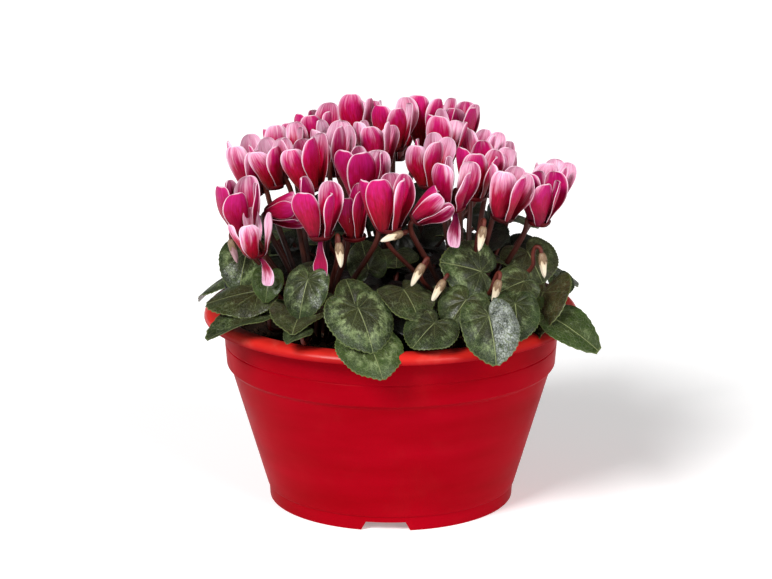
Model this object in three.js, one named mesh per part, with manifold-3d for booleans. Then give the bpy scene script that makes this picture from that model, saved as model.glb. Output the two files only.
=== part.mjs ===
// A bowl of cyclamen: three plants grown together in one red plastic pot.
// Millimetres, +Z up. The origin is on the surface the pot stands on, on the pot's axis. The front is -Y.
import * as THREE from "three";
import { ParametricGeometry } from "three/addons/geometries/ParametricGeometry.js";
import { mergeVertices } from "three/addons/utils/BufferGeometryUtils.js";
import Module from "manifold-3d";

const wasm = await Module();
wasm.setup();

// Pot
const WALL = 2.2;
const FOOT_RADIUS = 88.6;
const FOOT_RING_WIDTH = 5;
const FOOT_HEIGHT = 10;
const WALL_BOTTOM_RADIUS = 90.3;
const WALL_TOP = { radius: 116, height: 98.4 };
const COLLAR_BOTTOM = { radius: 119, height: 101 };
const COLLAR_TOP = { radius: 121.4, height: 134.5 };
const GROOVE_HEIGHT = 116.3;
const GROOVE_DEPTH = 0.5;
const LIP_RADIUS = 135;
const LIP_SKIRT_HEIGHT = 135;
const LIP_TOP_HEIGHT = 142.5;
const POT_SEGMENTS = 32;
const NOTCH = { count: 3, height: 6.5, widthLow: 36, widthHigh: 28, inside: 73, outside: 103, turn: -92.5 };
const DRAIN_HOLE = { count: 4, radius: 5, circle: 60, sides: 6 };

// Soil
const SOIL_RINGS = [34, 66, 94];
const SOIL_SEGMENTS = 20;
const SOIL_EDGE_HEIGHT = 118;
const SOIL_MOUND = 7;
const SOIL_LUMP = 1.6;

// Plants
const GAP = 0.4;
const CORM = { radius: 22, flatness: 0.6, height: 120 };
const CORMS = [[-50, -30], [52, -28], [0, 52]];
const FLOWER_STALK = { radius: 1.75, sides: 4, foot: [1, 9] };
const LEAF_STALK = { radius: 1.5, sides: 3, foot: [11, 15] };
const ROOTED = 4;
const LONG_REACH = 80;
const LEAF_HALF_THICKNESS = 0.7;
const LEAF_SECTORS = 18;
const YOUNG_LEAF_SECTORS = 8;
const LEAF_RINGS = [0, 0.6, 1, 0.6, 0];
const RIM_RING = 2;
const NOTCH_CROWDING = 0.45;
const TOOTH = 0.025;
const RIM_CLEARANCE = 2.5;
const STALK_BENDS = [12, 9];
const PETALS = 5;
const PETAL_HALF_THICKNESS = 0.75;
const PETAL_TWIST = 27;
const PETAL_CUP = 0.34;
const PETAL_WIDEST = 0.72;
const STALK_OPENING = 100;
const THROAT_HEIGHT = 9.4;
const BUD_LENGTH = 17;
const SEED = { leaf: 100, bud: 200, youngLeaf: 300 };

// Blooms: where the mouth is, the size, and what is special about one.
// The mouth is the lowest point, from which the petals rise.
const BLOOMS = [
  { at: [-48.3, -85, 212.5], size: 1.1, hanging: 176 },
  { at: [-25.5, -67, 206.9], size: 1.0, slim: 0.62 },
  { at: [-2.2, -80, 216.5], size: 1.12 },
  { at: [15.5, -86, 225.5], size: 0.74, lean: 52, leanHeading: -10 },
  { at: [43, -72, 229.5], size: 1.0, hanging: 200 },
  { at: [76.8, -62, 220], size: 1.04 },
  { at: [103, -50, 213.5], size: 1.02, lean: 6 },
  { at: [-93.8, -70, 195.5], size: 0.82, lean: 10, slim: 1.3, hanging: 262 },
  { at: [-102.5, -50, 205], size: 1.04, lean: 6 },
  { at: [-96, -12, 226], size: 1.08 },
  { at: [-80.5, -25, 234.5], size: 1 },
  { at: [-56.2, -38, 235.5], size: 1.08 },
  { at: [-39.9, -6, 238.5], size: 1.04 },
  { at: [-19, -42, 224.5], size: 1.19 },
  { at: [27.6, -15, 231.5], size: 1.04 },
  { at: [58.3, -33, 228], size: 1.04 },
  { at: [72.5, -8, 223.5], size: 0.98 },
  { at: [110, -8, 213.5], size: 1.04, lean: 8 },
  { at: [-72.5, 25, 235.5], size: 0.95 },
  { at: [-9.3, 8, 237.5], size: 1.04 },
  { at: [36, 18, 240.5], size: 1.04 },
  { at: [60.5, 22, 229.5], size: 0.98 },
  { at: [-51, 50, 240], size: 1.02 },
  { at: [-20.4, 55, 246], size: 1.06 },
  { at: [3, 34, 248.5], size: 1.02 },
  { at: [26.9, 50, 244.5], size: 1.06 },
  { at: [48.5, 60, 240], size: 1.02 },
  { at: [-87, -44, 219.5], size: 0.75, lean: 78, leanHeading: -20 },
  { at: [-62, 84, 218], size: 1.1 },
  { at: [2, 100, 226], size: 1.12 },
  { at: [72, 78, 207], size: 1.06 },
];

// Large leaves: where the stalk joins the blade, the way the tip points, how far it drops, how far the
// blade is rolled about its midrib, and the distance from the joint to the tip.
const LEAVES = [
  { at: [-22.6, -122, 172.2], heading: -56, droop: 45, roll: 0, length: 31, wave: 1 },
  { at: [62, -74, 185.5], heading: -162, droop: -22, roll: 52, length: 28, wave: 1.2 },
  { at: [-57.2, -97, 185.5], heading: -118, droop: 54, roll: 0, length: 27, broad: 0.7, wave: 0.6 },
  { at: [51.5, -100, 172.1], heading: -140, droop: 40, roll: 22, length: 22, wave: 1 },
  { at: [66, -122, 167], heading: -71, droop: 50, roll: 0, length: 32, broad: 0.76, wave: 1.2 },
  { at: [-102, -30, 188.5], heading: -108, droop: 44, roll: 0, length: 29, broad: 0.7, fold: 0.3, wave: 3 },
  { at: [96.5, -32, 189], heading: -60, droop: 35, roll: -12, length: 25, wave: 1.2 },
  { at: [92, -78, 179.5], heading: -148, droop: 8, roll: 38, length: 22, broad: 0.8, wave: 2 },
  { at: [107, -55, 165], heading: -116, droop: 38, roll: -16, length: 38, broad: 0.8, fold: 0.35 },
  { at: [85.2, -97, 168.7], heading: -84, droop: 42, roll: 0, length: 26, broad: 0.75, wave: 1.2 },
  { at: [108, -74, 154.5], heading: -28, droop: 18, roll: -22, length: 37, broad: 0.44, point: 0.2,
    fold: 0.25 },
  { at: [29.5, -118, 160.5], heading: -136, droop: 26, roll: 18, length: 23, wave: 1.6 },
  { at: [-16, -128.5, 151], heading: -62, droop: 34, roll: -5, length: 28, wave: 0.6 },
  { at: [-62.7, -98, 161.1], heading: -100, droop: 4, roll: 0, length: 26, fold: 0.5, broad: 0.9 },
  { at: [-92, -58, 167], heading: 174, droop: 8, roll: 24, length: 38, broad: 0.66, wave: 3.5 },
  { at: [-85, -74, 153], heading: -163, droop: 6, roll: 2, length: 44, broad: 0.58, fold: 0.45 },
  { at: [-24.5, -101, 167.8], heading: 118, droop: -56, roll: 10, length: 21, broad: 0.75, fold: 0.45 },
  { at: [-16, -50, 181.5], heading: 125, droop: -66, roll: 30, length: 20, broad: 0.8, wave: 1.5 },
  { at: [8.5, -92, 177], heading: -62, droop: 22, roll: 0, length: 26, broad: 0.9, wave: 2 },
  { at: [108, 44, 161.1], heading: 20, droop: 18, roll: 0, length: 34, wave: 2 },
  { at: [68, 94, 158.5], heading: 55, droop: 20, roll: 8, length: 35, wave: 2 },
  { at: [0, 116, 156.8], heading: 92, droop: 22, roll: 0, length: 35, wave: 2.4 },
  { at: [-64, 94, 160.2], heading: 126, droop: 16, roll: -8, length: 34, wave: 2 },
  { at: [-107, 46, 157], heading: 165, droop: 24, roll: 0, length: 41.5, wave: 1.8 },
];

// Young leaves on their own stalks in the heart of each plant, in the same terms.
const YOUNG_LEAVES = [
  { at: [-85.8, -66, 179.5], heading: -97, droop: 52, roll: 10, length: 17, broad: 0.75, fold: 0.5 },
  { at: [-62, -118, 155], heading: -135, droop: 16, roll: 0, length: 13, fold: 0.3 },
  { at: [122, 4, 160], heading: -60, droop: 40, roll: 0, length: 13, fold: 0.2 },
  { at: [-58, -48, 181.5], heading: 200, droop: 20, roll: 0, length: 18, wave: 1 },
  { at: [-40, -72, 167], heading: -80, droop: 20, roll: 0, length: 18, wave: 1 },
  { at: [40, -62, 168.7], heading: -110, droop: 20, roll: 0, length: 18, wave: 1 },
  { at: [78, -30, 183.5], heading: 10, droop: 18, roll: 0, length: 19, wave: 1 },
  { at: [46, 24, 185.5], heading: 40, droop: 15, roll: 0, length: 20, wave: 1 },
  { at: [-46, 30, 185.5], heading: 150, droop: 15, roll: 0, length: 20, wave: 1 },
  { at: [38, 84, 181.5], heading: 60, droop: 25, roll: 0, length: 21, wave: 1 },
  { at: [-28, 88, 183.5], heading: 115, droop: 25, roll: 0, length: 21, wave: 1 },
  { at: [86, 42, 198], heading: 20, droop: 12, roll: 0, length: 24, wave: 1 },
  { at: [-84, 28, 188], heading: 165, droop: 16, roll: 0, length: 21, wave: 1 },
  { at: [4, 12, 177.5], heading: -90, droop: 10, roll: 0, length: 19, wave: 1 },
];

// Closed buds: the top, where the calyx is, and the tip, which hangs.
const BUDS = [
  { top: [-35.7, -98, 211.5], tip: [-34.4, -99, 193.5] },
  { top: [21.5, -94, 195.5], tip: [13, -96, 179.5] },
  { top: [74.2, -92, 183.5], tip: [69.4, -94, 166.5] },
  { top: [105.1, -64, 195.5], tip: [107, -66, 178.5] },
  { top: [63.8, -76, 217.5], tip: [60.5, -79, 201.5] },
  { top: [7, -84, 215.5], tip: [-8, -92, 211.5] },
  { top: [-112.4, -48, 201.5], tip: [-108, -50, 185.5] },
  { top: [36, -92, 183.5], tip: [30, -95, 173.5] },
  { top: [40, 102, 203], tip: [43, 106, 186.2] },
  { top: [-18, 112, 201.5], tip: [-20, 116, 184.5] },
];

const vec = (x, y, z) => new THREE.Vector3(x, y, z);
const radians = THREE.MathUtils.degToRad;

// A repeatable draw between -1 and 1.
function draw(seed) {
  const wave = Math.sin(seed * 127.1 + 311.7) * 43758.5453;
  return 2 * (wave - Math.floor(wave)) - 1;
}

// The height of a smooth curve through evenly spaced values, where s runs from 0 to 1.
function along(values, s) {
  const last = values.length - 1;
  const i = Math.min(Math.floor(s * last), last - 1);
  const t = s * last - i;
  const [b, c] = [values[i], values[i + 1]];
  const a = values[Math.max(i - 1, 0)];
  const d = values[Math.min(i + 2, last)];
  return b + 0.5 * t * (c - a + t * (2 * a - 5 * b + 4 * c - d + t * (3 * (b - c) + d - a)));
}

// A closed geometry as a solid that can be joined and cut.
function solidOf(geometry) {
  const plain = geometry.clone();
  plain.deleteAttribute("normal");
  plain.deleteAttribute("uv");
  const merged = mergeVertices(plain, 1e-4);
  const corners = merged.index.array;
  const triVerts = [];
  for (let i = 0; i < corners.length; i += 3) {
    const [a, b, c] = corners.slice(i, i + 3);
    if (a !== b && b !== c && c !== a) triVerts.push(a, b, c);
  }
  const vertProperties = merged.attributes.position.array;
  return new wasm.Manifold(
    new wasm.Mesh({ numProp: 3, vertProperties, triVerts: new Uint32Array(triVerts) }),
  );
}

function geometryOf(solid) {
  const mesh = solid.getMesh();
  const geometry = new THREE.BufferGeometry();
  geometry.setAttribute("position", new THREE.BufferAttribute(mesh.vertProperties, 3));
  geometry.setIndex(new THREE.BufferAttribute(mesh.triVerts, 1));
  const faceted = geometry.toNonIndexed();
  faceted.computeVertexNormals();
  return faceted;
}

const joined = (solids) => solids.reduce((whole, next) => whole.add(next));

// The largest body of a solid, without scraps that a cut has freed.
function largest(solid) {
  return solid.decompose().reduce((best, next) => (next.volume() > best.volume() ? next : best));
}

// A surface of revolution about +Z from a profile of [radius, height] points.
function turned(profile, segments) {
  const points = profile.map(([radius, height]) => new THREE.Vector2(radius, height));
  return new THREE.LatheGeometry(points, segments).rotateX(Math.PI / 2);
}

// A thin closed blade on a parametric surface. Its back is split into triangles the same way as its front.
function blade(surface, slices, stacks, onBack) {
  const place = (u, v, target) => {
    const column = Math.round((1 - u) * slices) % slices;
    return surface(column, Math.round(v * stacks), target);
  };
  const geometry = new ParametricGeometry(place, slices, stacks);
  const index = geometry.index;
  for (let row = 0; row < stacks; row++) {
    for (let column = 0; column < slices; column++) {
      if (!onBack(column, row)) continue;
      const quad = 6 * (row * slices + column);
      const [a, b, d] = [index.getX(quad), index.getX(quad + 1), index.getX(quad + 2)];
      const c = index.getX(quad + 4);
      [a, b, c, a, c, d].forEach((corner, k) => index.setX(quad + k, corner));
    }
  }
  return geometry;
}

// A curve sampled at its own points, so that a tight crook gets as many steps as its points give it.
class StalkCurve extends THREE.CatmullRomCurve3 {
  getPointAt(u, target) {
    return this.getPoint(u, target);
  }
  getTangentAt(u, target) {
    return this.getTangent(u, target);
  }
}

// A stalk along a list of points. Grown, it is the space that the stalk needs.
function stalk(points, { radius, sides }, grow) {
  const last = points.length - 1;
  const section = new THREE.Shape();
  const reach = radius + grow / Math.cos(Math.PI / sides);
  for (let i = 0; i < sides; i++) {
    const angle = (2 * Math.PI * i) / sides;
    const corner = [reach * Math.cos(angle), reach * Math.sin(angle)];
    if (i) section.lineTo(...corner);
    else section.moveTo(...corner);
  }
  const options = { extrudePath: new StalkCurve(points), steps: last, bevelEnabled: false };
  return solidOf(new THREE.ExtrudeGeometry(section, options));
}

// Pot
function potProfile() {
  const groove = THREE.MathUtils.lerp(COLLAR_BOTTOM.radius, COLLAR_TOP.radius, 0.48);
  return [
    [0, FOOT_HEIGHT],
    [FOOT_RADIUS - FOOT_RING_WIDTH, FOOT_HEIGHT],
    [FOOT_RADIUS - FOOT_RING_WIDTH, 0],
    [FOOT_RADIUS, 0],
    [FOOT_RADIUS + 0.6, FOOT_HEIGHT],
    [WALL_BOTTOM_RADIUS, FOOT_HEIGHT + 1],
    [WALL_TOP.radius, WALL_TOP.height],
    [COLLAR_BOTTOM.radius - 0.8, COLLAR_BOTTOM.height - 0.8],
    [COLLAR_BOTTOM.radius, COLLAR_BOTTOM.height],
    [groove, GROOVE_HEIGHT - 0.8],
    [groove - GROOVE_DEPTH, GROOVE_HEIGHT],
    [groove + 0.1, GROOVE_HEIGHT + 0.8],
    [COLLAR_TOP.radius, COLLAR_TOP.height],
    [COLLAR_TOP.radius + 2, LIP_TOP_HEIGHT - 3.4],
    [LIP_RADIUS - 4.4, LIP_TOP_HEIGHT - 3.6],
    [LIP_RADIUS - WALL, LIP_SKIRT_HEIGHT],
    [LIP_RADIUS, LIP_SKIRT_HEIGHT],
    [LIP_RADIUS - 0.3, LIP_TOP_HEIGHT - 4],
    [LIP_RADIUS - 3, LIP_TOP_HEIGHT - 1],
    [LIP_RADIUS - 7.5, LIP_TOP_HEIGHT],
    [LIP_RADIUS - 12.5, LIP_TOP_HEIGHT - 0.4],
    [COLLAR_TOP.radius - 1.4, LIP_TOP_HEIGHT - 2.4],
    [COLLAR_TOP.radius - WALL, COLLAR_TOP.height],
    [COLLAR_BOTTOM.radius - WALL, COLLAR_BOTTOM.height + 2],
    [WALL_TOP.radius - WALL, WALL_TOP.height + 0.6],
    [WALL_BOTTOM_RADIUS - WALL, FOOT_HEIGHT + WALL],
    [0, FOOT_HEIGHT + WALL],
  ];
}

function makePot() {
  let pot = solidOf(turned(potProfile(), POT_SEGMENTS));
  for (let i = 0; i < NOTCH.count; i++) {
    const outline = new THREE.Shape([
      new THREE.Vector2(-NOTCH.widthLow / 2, -1),
      new THREE.Vector2(NOTCH.widthLow / 2, -1),
      new THREE.Vector2(NOTCH.widthHigh / 2, NOTCH.height),
      new THREE.Vector2(-NOTCH.widthHigh / 2, NOTCH.height),
    ]);
    const depth = NOTCH.outside - NOTCH.inside;
    const notch = new THREE.ExtrudeGeometry(outline, { depth, bevelEnabled: false });
    notch.rotateX(Math.PI / 2);
    notch.translate(0, NOTCH.outside, 0);
    notch.rotateZ(radians(NOTCH.turn + (360 / NOTCH.count) * i - 90));
    pot = pot.subtract(solidOf(notch));
  }
  const { radius, sides } = DRAIN_HOLE;
  for (let i = 0; i < DRAIN_HOLE.count; i++) {
    const hole = new THREE.CylinderGeometry(radius, radius, 3 * WALL, sides);
    hole.rotateX(Math.PI / 2);
    hole.translate(DRAIN_HOLE.circle, 0, FOOT_HEIGHT + WALL / 2);
    hole.rotateZ(radians((360 / DRAIN_HOLE.count) * i));
    pot = pot.subtract(solidOf(hole));
  }
  return pot;
}

// The space that the lip needs, which leaves stay out of.
function lipSpace() {
  const inner = COLLAR_TOP.radius - WALL - 1;
  return solidOf(turned([
    [inner, SOIL_EDGE_HEIGHT],
    [COLLAR_TOP.radius + 1, SOIL_EDGE_HEIGHT],
    [COLLAR_TOP.radius + 1, LIP_SKIRT_HEIGHT - 0.5],
    [LIP_RADIUS + 0.5, LIP_SKIRT_HEIGHT - 0.5],
    [LIP_RADIUS + 0.5, LIP_TOP_HEIGHT - 3.8],
    [LIP_RADIUS - 2.8, LIP_TOP_HEIGHT - 0.5],
    [LIP_RADIUS - 7.4, LIP_TOP_HEIGHT + 0.5],
    [LIP_RADIUS - 12.8, LIP_TOP_HEIGHT + 0.2],
    [inner, LIP_TOP_HEIGHT - 2],
    [inner, SOIL_EDGE_HEIGHT],
  ], POT_SEGMENTS));
}

// Soil
function soilHeight(x, y) {
  const reach = Math.hypot(x, y) / (COLLAR_TOP.radius - WALL);
  const lumps = Math.sin(x / 9 + 1.3) * Math.cos(y / 11 - 0.4) + 0.6 * Math.sin((x + y) / 6.5);
  return SOIL_EDGE_HEIGHT + SOIL_MOUND * (1 - reach ** 2) + SOIL_LUMP * lumps * (1 - reach ** 6);
}

function makeSoil() {
  const reach = (radius, height) => [radius - WALL - GAP, height];
  const rise = (SOIL_EDGE_HEIGHT - COLLAR_BOTTOM.height) / (COLLAR_TOP.height - COLLAR_BOTTOM.height);
  const edge = THREE.MathUtils.lerp(COLLAR_BOTTOM.radius, COLLAR_TOP.radius, rise);
  const profile = [
    [0, FOOT_HEIGHT + WALL + GAP],
    reach(WALL_BOTTOM_RADIUS - 0.2, FOOT_HEIGHT + WALL + GAP),
    reach(WALL_TOP.radius - 0.2, WALL_TOP.height + 0.9),
    reach(COLLAR_BOTTOM.radius - 0.2, COLLAR_BOTTOM.height + 2.3),
    reach(edge - 0.6, SOIL_EDGE_HEIGHT),
    ...SOIL_RINGS.toReversed().map((radius) => [radius, SOIL_EDGE_HEIGHT + 1]),
    [0, SOIL_EDGE_HEIGHT + 1],
  ];
  const geometry = turned(profile, SOIL_SEGMENTS);
  const position = geometry.attributes.position;
  for (let i = 0; i < position.count; i++) {
    if (position.getZ(i) <= SOIL_EDGE_HEIGHT) continue;
    position.setZ(i, soilHeight(position.getX(i), position.getY(i)));
  }
  return solidOf(geometry);
}

// Corms
function corm([x, y], grow) {
  const ball = new THREE.SphereGeometry(CORM.radius, 9, 5).rotateX(Math.PI / 2);
  ball.scale(1 + grow / CORM.radius, 1 + grow / CORM.radius, CORM.flatness + grow / CORM.radius);
  return solidOf(ball.translate(x, y, CORM.height));
}

// The nearest corm's place, which a stalk grows from.
function cormOf([x, y]) {
  const away = ([cx, cy]) => Math.hypot(x - cx, y - cy);
  return CORMS.reduce((best, place) => (away(place) < away(best) ? place : best));
}

// The first points of a stalk: out of the corm, further from its middle the further the stalk reaches.
function stalkFoot([x, y], target, { foot: [near, far] }, seed) {
  const away = vec(target.x - x, target.y - y, 0);
  const reach = away.length();
  const start = THREE.MathUtils.lerp(near, far, Math.min(reach / LONG_REACH, 1)) + draw(seed);
  const height = CORM.height + CORM.flatness * Math.sqrt(CORM.radius ** 2 - start ** 2) - ROOTED;
  const foot = vec(x, y, height).addScaledVector(away.normalize(), start);
  const bend = foot.clone().lerp(target, 0.45).add(vec(0, 0, 0.06 * reach + 2));
  return [foot, bend];
}

// Leaves: distance from joint to rim, for a blade whose tip is at 1
function heartRadius(angle, { broad = 1, point = 0.06 }) {
  const ahead = (1 + Math.cos(angle)) / 2;
  const tip = point * Math.exp(-((angle / 0.25) ** 2));
  const lobes = 1 - 0.5 * (1 - ahead) ** 4;
  const notch = 0.86 * Math.exp(-(((Math.PI - Math.abs(angle)) / 0.38) ** 2));
  const side = broad + (1 - broad) * Math.cos(angle) ** 2;
  return (0.86 + 0.14 * ahead ** 3 + tip) * lobes * (1 - notch) * side;
}

function leafAxes({ heading, droop, roll }) {
  const [turn, drop] = [radians(heading), radians(droop)];
  const tip = vec(Math.cos(turn) * Math.cos(drop), Math.sin(turn) * Math.cos(drop), -Math.sin(drop));
  const up = vec(Math.cos(turn) * Math.sin(drop), Math.sin(turn) * Math.sin(drop), Math.cos(drop));
  up.applyAxisAngle(tip, radians(-roll));
  return { tip, up, side: up.clone().cross(tip) };
}

// How far the blade stands above its own plane, with x towards the tip and y to the side.
function leafRelief(leaf, x, y, reach, angle) {
  const { length, fold = 0.06, wave = 1 } = leaf;
  const dome = (0.2 * (x * x + y * y)) / length;
  return fold * Math.abs(y) - dome + wave * reach ** 2 * Math.sin(3 * angle + draw(leaf.heading));
}

function leafBlade(leaf, sectors, grow) {
  const { tip, up, side } = leafAxes(leaf);
  const geometry = blade((column, row, target) => {
    const share = (2 * column) / sectors - 1;
    const angle = Math.PI * share * (1 + NOTCH_CROWDING * (1 - Math.abs(share)));
    const hasTooth = row === RIM_RING && Math.abs(share) < 0.8;
    const tooth = hasTooth ? TOOTH * (column % 2 ? 1 : -1) : 0;
    const rim = leaf.length * heartRadius(angle, leaf) * (1 + tooth) + RIM_CLEARANCE * grow;
    const reach = LEAF_RINGS[row];
    const [x, y] = [reach * rim * Math.cos(angle), reach * rim * Math.sin(angle)];
    const thickness = (LEAF_HALF_THICKNESS + grow) * Math.sign(RIM_RING - row);
    return target.set(...leaf.at)
      .addScaledVector(tip, x)
      .addScaledVector(side, y)
      .addScaledVector(up, leafRelief(leaf, x, y, reach, angle) + thickness);
  }, sectors, LEAF_RINGS.length - 1, (column, row) => row >= RIM_RING);
  return solidOf(geometry);
}

function leafStalk(leaf, seed, seat, grow) {
  const { up } = leafAxes(leaf);
  const joint = vec(...leaf.at);
  const below = (depth) => joint.clone().addScaledVector(up, -depth);
  const [lowBend, highBend] = STALK_BENDS.map(below);
  const foot = stalkFoot(cormOf(leaf.at), lowBend, LEAF_STALK, seed);
  return stalk([...foot, highBend, below(seat)], LEAF_STALK, grow);
}

// Blooms: how far a petal's middle line stands from the bloom's axis, and how far above the mouth, at
// even steps from its claw to its tip
const PETAL_REACH = [2.2, 6.2, 7.3, 8.6, 10.3, 12, 13.1, 13.2];
const PETAL_RISE = [1.4, 0.6, 3.8, 9.6, 16, 22.4, 28.8, 34.8];
const HANGING_REACH = [2.2, 7, 8.8, 9.8, 10.4, 10.6, 10.4, 9.8];
const HANGING_RISE = [1.4, -1.2, -4.5, -8.5, -13, -17.5, -22, -26];

// Where the petal's rows of corners are, from 0 at its claw to 1 at its tip
const PETAL_ROWS = [0, 0.15, 0.48, 0.8, 1];

// A stalk's crook, from the side of the flower round to its top: distance from the axis, and height
const BLOOM_CROOK = [[9.4, -8], [7.7, 3.5], [3.8, 12.6], [0.2, 13.6]];
const BUD_CROOK = [[8.5, -8], [7.4, 0], [4.6, 5], [1.4, 4.6], [0, -0.6]];

function petalHalfWidth(s) {
  const swell = 2.2 + 6.8 * Math.sin((Math.PI / 2) * Math.min(s / PETAL_WIDEST, 1)) ** 2.5;
  const past = Math.max((s - PETAL_WIDEST) / (1 - PETAL_WIDEST), 0);
  return swell * Math.sqrt(1 - 0.7 * past ** 2);
}

function bloomAxes(bloom) {
  const [x, y] = bloom.at;
  const reach = Math.hypot(x, y);
  const heading = bloom.leanHeading === undefined ? Math.atan2(y, x) : radians(bloom.leanHeading);
  const lean = radians(bloom.lean ?? 1 + 0.09 * reach + 4 * draw(x + y));
  const up = vec(Math.cos(heading) * Math.sin(lean), Math.sin(heading) * Math.sin(lean), Math.cos(lean));
  const [cx, cy] = cormOf(bloom.at);
  const gap = vec(cx - x, cy - y, 0);
  gap.addScaledVector(up, -gap.dot(up)).normalize();
  return { up, gap, across: up.clone().cross(gap) };
}

function petal(bloom, number, grow) {
  const { up, gap, across } = bloomAxes(bloom);
  const seed = bloom.at[0] * 3.7 + number;
  const hangs = bloom.hanging && number === PETALS - 1;
  const upright = bloom.hanging ? PETALS - 1 : PETALS;
  const step = (360 - STALK_OPENING) / (upright - 1);
  const place = hangs ? bloom.hanging : STALK_OPENING / 2 + step * number;
  const angle = radians(place + 3 * draw(seed));
  const narrow = (bloom.slim < 1 ? 0.75 : 1) * (hangs ? 0.6 : 1) * (1 + 0.05 * draw(seed + 80));
  const [reach, rise] = hangs ? [HANGING_REACH, HANGING_RISE] : [PETAL_REACH, PETAL_RISE];
  const size = bloom.size;
  const stretch = hangs ? 0.92 : 1 + 0.1 * draw(seed + 20);
  const spread = (bloom.slim ?? 1) * (1 + 0.14 * draw(seed + 40));
  const twist = radians(PETAL_TWIST + 7 * draw(seed + 60));
  const outward = gap.clone().applyAxisAngle(up, angle);
  const around = across.clone().applyAxisAngle(up, angle);
  const centre = (s) => vec(...bloom.at)
    .addScaledVector(outward, size * along(reach, s) * (s > 0.2 ? spread : 1))
    .addScaledVector(up, size * stretch * along(rise, s));
  const lastRow = PETAL_ROWS.length - 1;
  const geometry = blade((column, row, target) => {
    const s = PETAL_ROWS[row];
    const run = centre(Math.min(s + 0.02, 1)).sub(centre(Math.max(s - 0.02, 0))).normalize();
    const turn = twist * Math.sin((Math.PI / 2) * Math.min(2 * s, 1));
    const sideways = around.clone().applyAxisAngle(run, turn);
    const normal = run.clone().cross(sideways);
    const isEnd = row === 0 || row === lastRow;
    const half = row === 0 ? 0 : size * petalHalfWidth(s) * narrow + grow;
    const thick = isEnd ? 0 : PETAL_HALF_THICKNESS + grow;
    const edge = PETAL_CUP * half;
    const offset = [[-half, edge], [0, thick], [half, edge], [0, -thick]][column];
    return target.copy(centre(s))
      .addScaledVector(run, isEnd ? grow * Math.sign(row - 1) : 0)
      .addScaledVector(sideways, offset[0])
      .addScaledVector(normal, offset[1]);
  }, 4, lastRow, (column) => column >= 2);
  return solidOf(geometry);
}

// The corolla's short tube and the calyx above it, which the stalk's crooked end comes down to.
function bloomThroat(bloom, grow) {
  const { size } = bloom;
  const { up, gap, across } = bloomAxes(bloom);
  const profile = [[0, -0.4 * size - grow], [5 * size + grow, -grow],
    [2.4 * size + grow, THROAT_HEIGHT * size + grow], [0, THROAT_HEIGHT * size + grow]];
  const basis = new THREE.Matrix4().makeBasis(gap, across, up).setPosition(...bloom.at);
  return solidOf(turned(profile, PETALS).rotateZ(Math.PI / 2).applyMatrix4(basis));
}

function makeBloom(bloom, grow) {
  const petals = Array.from({ length: PETALS }, (_, number) => petal(bloom, number, grow));
  return joined([bloomThroat(bloom, grow), ...petals]);
}

function bloomStalk(bloom, seed, grow) {
  const { up, gap } = bloomAxes(bloom);
  const place = (out, rise) => vec(...bloom.at)
    .addScaledVector(gap, bloom.size * out)
    .addScaledVector(up, bloom.size * rise);
  const seat = THROAT_HEIGHT + GAP / bloom.size;
  const crook = [...BLOOM_CROOK, [0, seat]].map(([out, rise]) => place(out, rise));
  const foot = stalkFoot(cormOf(bloom.at), crook[0], FLOWER_STALK, seed);
  return stalk([...foot, ...crook], FLOWER_STALK, grow);
}

// Buds
function bud({ top, tip }, seed, grow) {
  const [start, end] = [vec(...top), vec(...tip)];
  const hang = end.clone().sub(start).normalize();
  const [cx, cy] = cormOf(top);
  const inward = vec(cx - start.x, cy - start.y, 0);
  inward.addScaledVector(hang, -inward.dot(hang)).normalize();
  const place = (out, back) => start.clone().addScaledVector(inward, out).addScaledVector(hang, -back);
  const profile = [[0, -1 - grow], [2.6 + grow, 0.4], [3 + grow, 4], [1.9 + grow, 11],
    [0, BUD_LENGTH + grow]];
  const cone = turned(profile, 5);
  cone.applyQuaternion(new THREE.Quaternion().setFromUnitVectors(vec(0, 0, 1), hang));
  cone.translate(...top);
  const crook = BUD_CROOK.map(([out, back]) => place(out, back));
  const foot = stalkFoot(cormOf(top), crook[0], FLOWER_STALK, seed);
  return stalk([...foot, ...crook], LEAF_STALK, grow).add(solidOf(cone));
}

// One plant's corm with everything that grows from it in one piece: flower stalks, leaf stalks, buds and
// young leaves.
function makeCrown(number, grow) {
  const seat = LEAF_HALF_THICKNESS + GAP;
  const grows = ({ at, top }) => cormOf(at ?? top) === CORMS[number];
  const flowerStalks = BLOOMS.map((bloom, i) => grows(bloom) && bloomStalk(bloom, i, grow));
  const leafStalks = LEAVES.map((leaf, i) => grows(leaf) && leafStalk(leaf, SEED.leaf + i, seat, grow));
  const buds = BUDS.map((item, i) => grows(item) && bud(item, SEED.bud + i, grow));
  const young = YOUNG_LEAVES.map((leaf, i) => grows(leaf)
    && leafStalk(leaf, SEED.youngLeaf + i, 0, grow).add(leafBlade(leaf, YOUNG_LEAF_SECTORS, grow)));
  const grown = [...flowerStalks, ...leafStalks, ...buds, ...young].filter(Boolean);
  return joined([corm(CORMS[number], grow), ...grown]);
}

// Materials
const finish = (color, roughness) => new THREE.MeshStandardMaterial({ color, roughness, metalness: 0 });
const redPlastic = finish(0xc8101c, 0.35);
const peat = finish(0x2a1d14, 0.95);
const stem = finish(0x6e2a22, 0.6);
const petalPink = finish(0xc2185b, 0.55);
const leafGreen = finish(0x3e5238, 0.5);

const group = new THREE.Group();

function show(name, solid, material) {
  const mesh = new THREE.Mesh(geometryOf(largest(solid)), material);
  mesh.name = name;
  group.add(mesh);
}

const numbered = (name, i) => `${name}_${String(i + 1).padStart(2, "0")}`;

show("pot", makePot(), redPlastic);
show("soil", CORMS.reduce((soil, place) => soil.subtract(corm(place, GAP)), makeSoil()), peat);

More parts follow.
